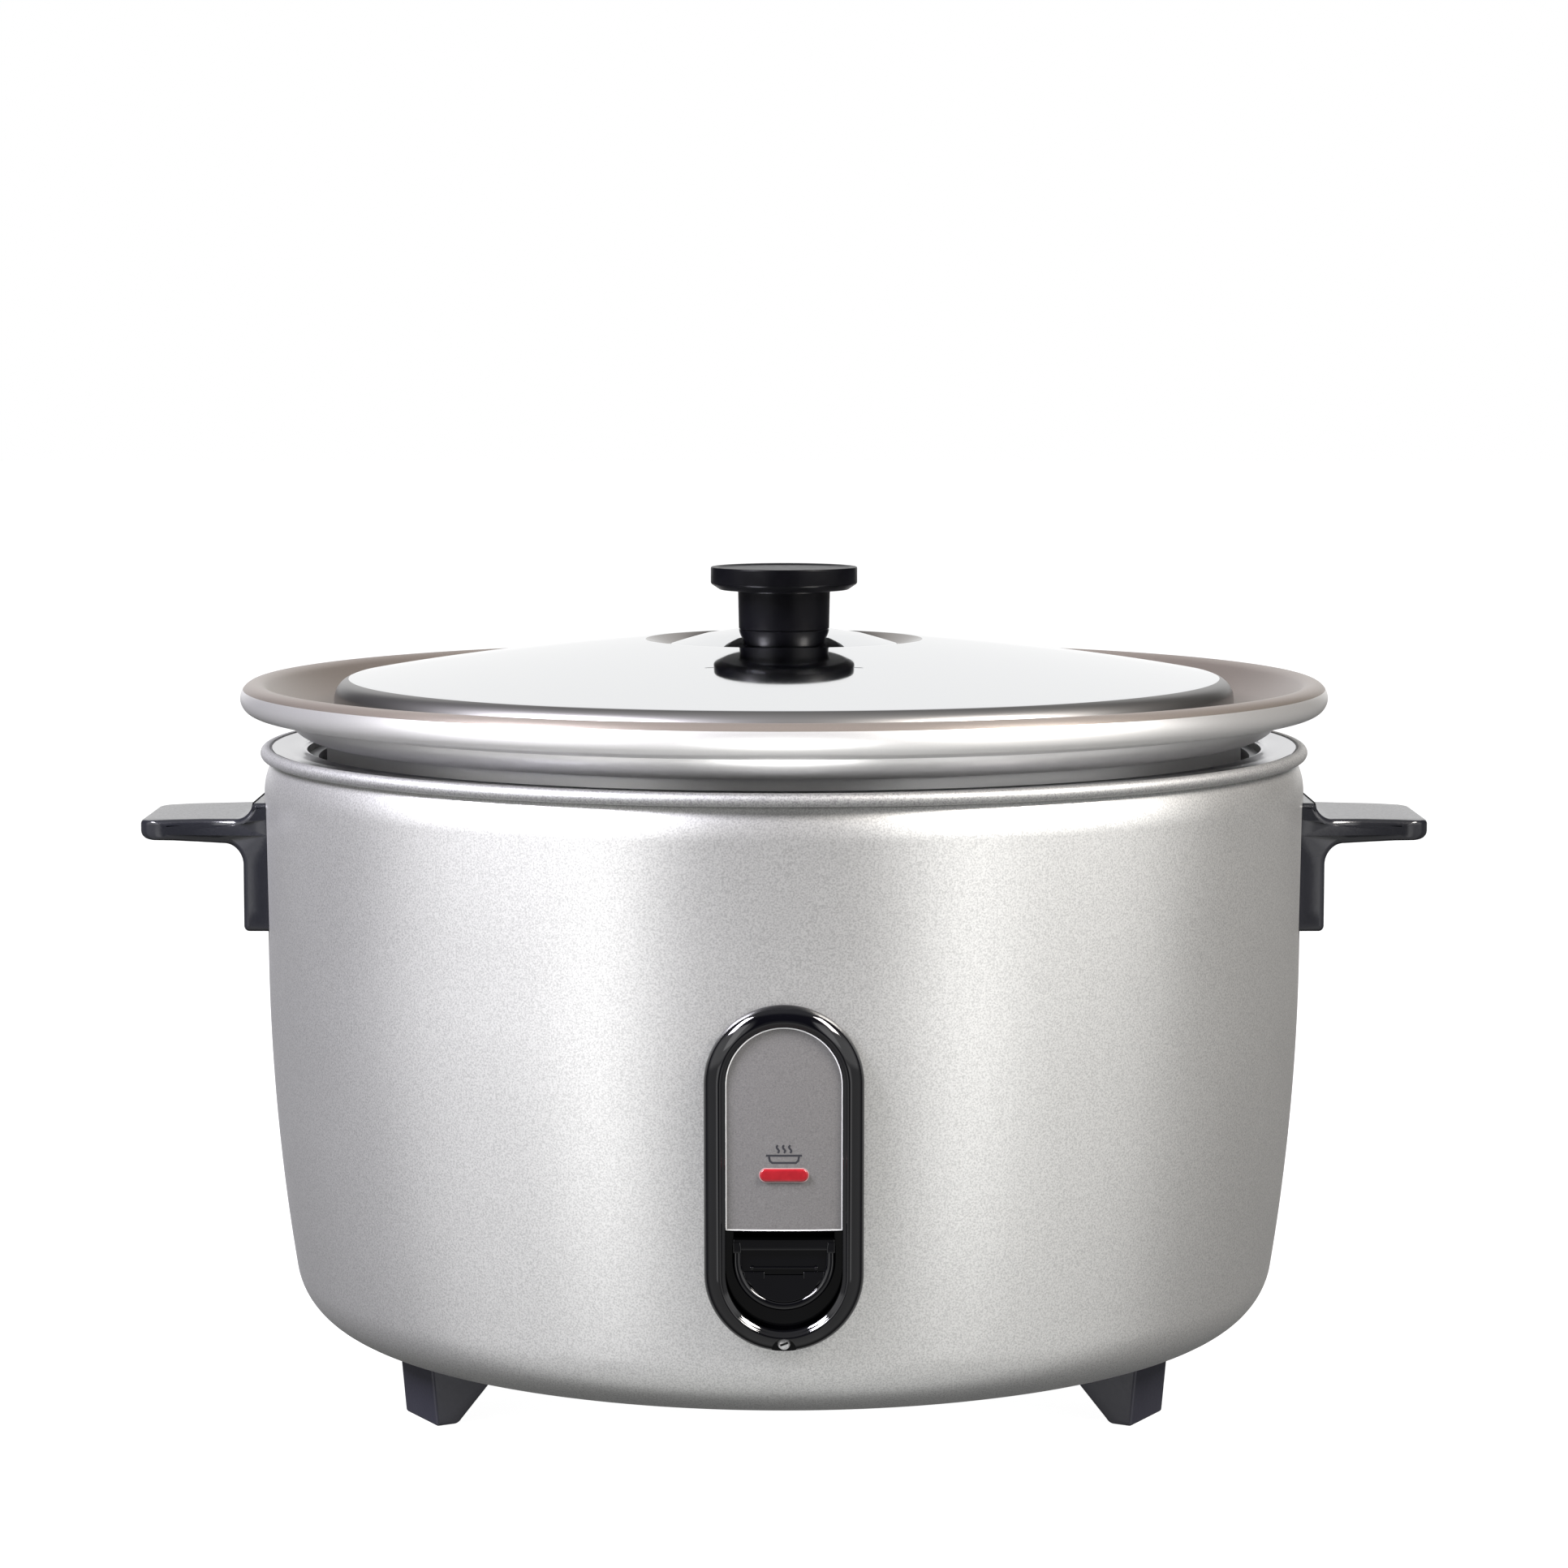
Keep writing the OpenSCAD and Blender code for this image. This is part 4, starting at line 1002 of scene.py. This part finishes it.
# ---- pan, lid and knob ----
def build_pan():
    radius = 190.5 * MM + GROWTH
    t = 2 * MM
    bead_r = 6.3 * MM
    bead_x = PAN_HIGH.x - bead_r
    bead_z = PAN_HIGH.z - bead_r
    neck_r = 9 * MM
    neck_x = radius + neck_r
    neck_z = Z_TOP + 3.3 * MM
    corner = 35 * MM
    seat = PAN_LOW.z
    start = arc(neck_x, neck_z, neck_r + t, 115, 115, 1)[0]
    finish = arc(bead_x, bead_z, bead_r, 140, 140, 1)[0]
    outline = [(0, seat), (radius - corner - 30 * MM, seat)]
    outline += arc(radius - corner, seat + corner, corner, -90, 0, 16)
    outline += [(radius, seat + corner + (neck_z - seat - corner) * k / 6) for k in range(1, 7)]
    # the shoulder under the roll: a quarter of an oval that bulges outwards
    under = arc(bead_x, bead_z, bead_r, -112, -112, 1)[0]
    bulge_z = under[1] - 2.8 * MM
    drop = bulge_z - neck_z - 5.4 * MM
    outline += pts(radius, bulge_z - drop, (0, -1.2), (0.3, -0.3))
    outline += [(radius + 1.2 * MM + 13.8 * MM * cos(a), bulge_z + drop * sin(a))
                for a in (radians(6 * k - 90) for k in range(16))]
    outline += pts(*under, (-0.9, 0.35))
    outline += arc(bead_x, bead_z, bead_r, -112, 140, 36)
    outline += curve(finish, meet(start, 25, finish, 50), start, 20)[1:-1]
    outline += arc(neck_x, neck_z, neck_r + t, 115, 180, 14)
    outline += [(radius - t, neck_z + (seat + corner - neck_z) * k / 6) for k in range(1, 6)]
    outline += arc(radius - corner, seat + corner, corner - t, 0, -90, 16)
    outline += [(60 * MM, seat + t), (0, seat + t)]
    pan = lathe("pan_bowl", outline, 320)
    paint(pan, PAN_METAL, PAN_INSIDE, PAN_TOP)
    for face, r, z in faces_of(pan):
        inwards = face.normal.x * face.center.x + face.normal.y * face.center.y < 0
        if r < radius - t / 2 and seat + t / 2 <= z < neck_z and (r < radius - corner or inwards):
            face.material_index = 1
        if face.normal.z > 0.6 and z > neck_z or r < bead_x and z > neck_z + neck_r:
            face.material_index = 2 if face.normal.z > 0 else 0
    return pan


def lid_path():
    """The lid's upper face from the skirt's foot to the centre."""
    skirt_r = 187.4 * MM + GROWTH
    skirt_z = Z_TOP + 24.6 * MM
    shoulder = 9 * MM
    slope = 9.3
    crown = 1.6
    well_r = 58.4 * MM
    slope_x = skirt_r - shoulder * (1 - sin(radians(slope)))
    slope_z = skirt_z + shoulder * cos(radians(slope))
    dome_x = slope_x - crown * sin(radians(slope))
    dome_z = slope_z - crown * cos(radians(slope))
    rim_slope = degrees(asin((well_r - dome_x) / crown))
    well_z = dome_z + crown * cos(radians(rim_slope))
    boss_r = 47.7 * MM
    path = [(skirt_r, Z_TOP + 10.4 * MM), (skirt_r, skirt_z - 6 * MM)]
    path += arc(skirt_r - shoulder, skirt_z, shoulder, 0, 90 - slope, 16)
    path += arc(dome_x, dome_z, crown, 90 - slope + 0.03, 90 - rim_slope - 0.06, 20)
    path += arc(well_r, well_z - 1.5 * MM, 1.5 * MM, 93, 112, 5)
    path += pts(0, well_z, (54, -1.55), (51.2, -2.95))
    path += arc(boss_r + 2.0 * MM, well_z - 2.7 * MM, 0.8 * MM, 285, 180, 5)
    path += arc(boss_r - 1.2 * MM, well_z - 3.0 * MM, 1.2 * MM, 0, 78, 6)
    path += pts(0, well_z, (33, 1.9), (20, 4), (2.6, 4))
    return path


def build_lid():
    path = lid_path()
    skirt_r = path[0][0]
    bead_r = 1.2 * MM
    bead_x = 189.0 * MM + GROWTH
    bead_z = Z_TOP + 10.1 * MM
    inner = offset(path, 1 * MM)[::-1]
    outline = [(skirt_r - 1 * MM, bead_z - bead_r)] + arc(bead_x, bead_z, bead_r, -90, 90, 12)
    outline += pts(skirt_r, bead_z + bead_r, (0.5, 0.1), (0, 0.5))
    outline += path[1:] + inner[:-1]
    lid = lathe("lid_dome", outline, 384)
    vent_r = 106 * MM
    slot = arc(1.5 * MM, 0, 0.55 * MM, -90, 90, 6) + arc(-1.5 * MM, 0, 0.55 * MM, 90, 270, 6)
    for side in (-1, 1):
        turn = radians(-90 + side * 16)
        cx, cy = vent_r * cos(turn), vent_r * sin(turn)
        lid = cut(lid, prism("vent", slot, LID_HIGH.z - 40 * MM, LID_HIGH.z + 5 * MM, 0,
                             lambda x, z, d: (cx + x, cy + z, d)))
    paint(lid, LID_METAL, LID_UNDER, LID_SKIRT_SHADED, LID_WELL_SHADED)
    well_z = path[-1][1] - 4 * MM
    for face, r, z in faces_of(lid):
        normal = face.normal
        outward = (normal.x * face.center.x + normal.y * face.center.y) / r if r > 0 else 0
        in_skirt = z > Z_TOP + 12 * MM and 100 * MM < r < skirt_r - 0.5 * MM and outward < -0.5
        if normal.z < -0.15 or in_skirt:
            face.material_index = 1
        # outward faces of the skirt take the darkened copy of the lid steel, a painted shade
        elif outward > 0.3 and r > skirt_r - 10 * MM:
            face.material_index = 2
        # faces in the groove round the boss take the darkened lid steel, a painted shade
        elif 48.2 * MM < r < 56.5 * MM and z < well_z and normal.z > 0:
            face.material_index = 3
    return lid


def build_knob():
    seat = KNOB_LOW.z
    top = KNOB_HIGH.z
    r = KNOB_HIGH.x
    stem = 18.9 * MM
    outline = [(0, seat)] + pts(stem, seat, (-0.5, 0), (-0.05, 0.35), (0, 0.9)) + pts(stem, top, (0.25, -14))
    outline += arc(stem + 1.6 * MM, top - 10.8 * MM, 1.3 * MM, 180, 90, 5)
    outline += arc(r - 4.2 * MM, top - 8.2 * MM, 1.3 * MM, -90, -50, 4)
    outline += arc(r - 1.4 * MM, top - 6.2 * MM, 1.4 * MM, -50, 0, 5)
    outline += arc(r - 0.6 * MM, top - 0.6 * MM, 0.6 * MM, 0, 90, 6)
    outline += pts(r, top, (-1.9, 0), (-2.5, -0.15), (-3.3, -0.6), (-4.5, -0.72), (-14, -0.75))
    outline += pts(0, top, (0, -0.75))
    return lathe("knob_cap", outline, 192)


# ---- put the pieces on the frame ----
dress(build_shell(), BODY_PAINT, "cooker_body", "body_paint", "outer_shell")
dress(build_ring(), None, "cooker_body", "ring_paint", "top_ring")
dress(build_liner(), LINER_METAL, "cooker_body", "liner_metal", "inner_liner")
dress(build_heater(), HEATER_CAST, "cooker_body", "heater_cast", "heater_plate")
dress(build_sensor(), HEATER_CAST, "sensor", "heater_cast", "sensor_cap")
dress(build_handle("handle_grip_right", 1), HANDLE_PLASTIC, "cooker_body", "handle_plastic", "handle_right")
dress(build_handle("handle_grip_left", -1), HANDLE_PLASTIC, "cooker_body", "handle_plastic", "handle_left")
for foot, angle in (("foot_front_left", -60), ("foot_front_right", 60), ("foot_rear", 180)):
    dress(build_foot(foot + "_wedge", angle), FOOT_PLASTIC, "cooker_body", "foot_plastic", foot)
dress(build_bezel(), GLOSS_BLACK, "cooker_body", "gloss_black", "switch_bezel")
dress(build_label(), None, "cooker_body", "label_grey", "label_plate")
dress(build_lens(), LENS, "cooker_body", "lamp_red", "lamp_lens")
dress(build_screw(), None, "cooker_body", "plated_steel", "bezel_screw")
dress(build_gland(), FOOT_PLASTIC, "cooker_body", "foot_plastic", "cord_gland")
dress(build_lever(), GLOSS_BLACK, "lever", "gloss_black", "cook_lever")
PAN = build_pan()
dress(PAN, None, "pan", "pan_metal", "pan")
dress(build_lid(), None, "lid", "lid_metal", "lid")
dress(build_knob(), KNOB_BLACK, "lid", "gloss_black", "lid_knob")

SLOT_MATERIALS = {
    "liner_metal": LINER_METAL, "plated_steel": PLATED, "foot_plastic": FOOT_PLASTIC,
    "heater_cast": HEATER_CAST, "element_sheath": ELEMENT, "ceramic": CERAMIC, "magnet_black": MAGNET,
    "switch_plastic": SWITCH, "button_red": BUTTON, "wire_sleeve": WIRES, "brass_earth": BRASS,
    "plate_blank": BLANK, "neon_glass": LENS,
}
for part in frame["record"]["subparts"]:
    if part["material_slot"] in SLOT_MATERIALS:
        paint(frame["nodes"][part["node"]], SLOT_MATERIALS[part["material_slot"]])


# ---- stage ----
def build_stage():
    """A pale floor that takes faint contact shading and sends no light back to the object."""
    bpy.ops.mesh.primitive_plane_add(size=30, location=(0, 0, 0))
    floor = bpy.context.object
    floor.name = "floor"
    for ray in ("diffuse", "glossy", "transmission", "shadow"):
        setattr(floor, "visible_" + ray, False)
    s = Shader("floor_white", (0.16, 0.16, 0.16), roughness=0.8, Emission_Strength=0.97)
    s.tint(s.noise(s.place(), 1.2, 2.0), (0.155, 0.155, 0.155), (0.165, 0.165, 0.165))
    s.bsdf.inputs["Emission Color"].default_value = (1, 1, 1, 1)
    s.mat.cycles.emission_sampling = "NONE"
    floor.data.materials.append(s.mat)


def softbox(name, azimuth, elevation, power, color=(1, 1, 1), only=()):
    """An area light on a sphere about the object; azimuth 0 is in front, positive to the right."""
    distance = 2.4
    target = Vector((0, 0, 0.16))
    light = bpy.data.lights.new(name, "AREA")
    light.shape = "RECTANGLE"
    light.size, light.size_y = 0.6, 1.0
    light.energy = power
    light.color = color
    obj = add_object(name, light)
    a, e = radians(azimuth), radians(elevation)
    away = Vector((sin(a) * cos(e), -cos(a) * cos(e), sin(e))) * distance
    obj.location = away + target
    obj.rotation_euler = (-away).to_track_quat("-Z", "Y").to_euler()
    if only:
        lit = bpy.data.collections.new(name + "_lit")
        for piece in only:
            lit.objects.link(piece)
        obj.light_linking.receiver_collection = lit


class Sky(Nodes):
    """White for the camera; for the object, soft cards placed by direction."""

    def __init__(self):
        world = bpy.data.worlds.new("studio")
        bpy.context.scene.world = world
        world.use_nodes = True
        self.tree = world.node_tree
        self.tree.nodes.clear()
        split = self.node("ShaderNodeSeparateXYZ")
        self.link(self.node("ShaderNodeTexCoord").outputs["Generated"], split.inputs[0])
        self.x = self.math("ABSOLUTE", split.outputs["X"])
        self.y = split.outputs["Y"]
        self.z = split.outputs["Z"]
        self.total = None

    def math(self, operation, a, b=None):
        n = self.node("ShaderNodeMath", operation=operation)
        for value, socket in ((a, n.inputs[0]), (b, n.inputs[1])):
            if isinstance(value, (int, float)):
                socket.default_value = value
            elif value is not None:
                self.link(value, socket)
        return n.outputs[0]

    def step(self, value, low, high):
        """Rises smoothly from 0 to 1 between two values."""
        n = self.node("ShaderNodeMapRange", interpolation_type="SMOOTHSTEP", From_Min=low, From_Max=high)
        self.link(value, n.inputs["Value"])
        return n.outputs["Result"]

    def past(self, value, low, high):
        """Falls smoothly from 1 to 0 between two values."""
        return self.math("SUBTRACT", 1.0, self.step(value, low, high))

    def card(self, strength, *masks):
        """Adds a card where all the masks overlap."""
        value = strength
        for mask in masks:
            value = self.math("MULTIPLY", mask, value)
        self.total = value if self.total is None else self.math("ADD", self.total, value)

    def finish(self):
        """Shows white to the camera and the cards to everything else."""
        white = (1, 1, 1, 1)
        lit = self.node("ShaderNodeBackground", Color=white)
        seen = self.node("ShaderNodeBackground", Color=white)
        path = self.node("ShaderNodeLightPath")
        mix = self.node("ShaderNodeMixShader")
        out = self.node("ShaderNodeOutputWorld")
        self.link(self.total, lit.inputs["Strength"])
        self.link(path.outputs["Is Camera Ray"], mix.inputs["Fac"])
        self.link(lit.outputs[0], mix.inputs[1])
        self.link(seen.outputs[0], mix.inputs[2])
        self.link(mix.outputs[0], out.inputs["Surface"])


def build_world():
    sky = Sky()
    back = sky.step(sky.y, -0.2, 0.2)
    ahead = sky.past(sky.y, -0.2, 0.2)
    narrow = sky.past(sky.x, 0.36, 0.46)
    wide = sky.step(sky.x, 0.36, 0.46)
    above = sky.step(sky.z, -0.05, 0.05)
    below = sky.past(sky.z, -0.05, 0.05)
    sky.card(0.98, back, narrow, sky.step(sky.z, -0.09, -0.03), sky.past(sky.z, 0.45, 0.75))
    sky.card(1.4, ahead, wide, above, sky.past(sky.z, 0.3, 0.7))
    sky.card(0.18, ahead, sky.past(sky.x, 0.2, 0.26), sky.step(sky.z, -0.5, -0.3), sky.past(sky.z, 0.2, 0.4))
    sky.card(0.57, ahead, wide, below)
    sky.card(0.65, ahead, narrow, sky.past(sky.z, -0.5, -0.3))
    sky.card(0.10, back, below)
    sky.card(0.45, sky.step(sky.z, 0.70, 0.86))
    sky.finish()


def build_camera():
    camera = bpy.data.cameras.new("camera")
    camera.sensor_width = 36
    camera.lens = 97.9
    camera.clip_end = 100
    pitch = 5.8
    obj = add_object("camera", camera)
    obj.location = (0, -1.7806, 0.4312)
    obj.rotation_euler = (radians(90 - pitch), 0, 0)
    bpy.context.scene.camera = obj


build_stage()
build_world()
build_camera()
softbox("key_left", -60, 40, 152, (0.98, 0.96, 1.06))
softbox("key_right", 58, 40, 105, (1.04, 0.99, 0.95))
softbox("fill_left", -40, 20, 3.6)
softbox("fill_right", 34, 20, 2.3)
softbox("low_left", -38, -14, 2.2)
softbox("low_right", 38, -14, 1.9)
softbox("rim_front", 0, -16, 30, only=[PAN])
bpy.context.scene.view_settings.view_transform = "Standard"
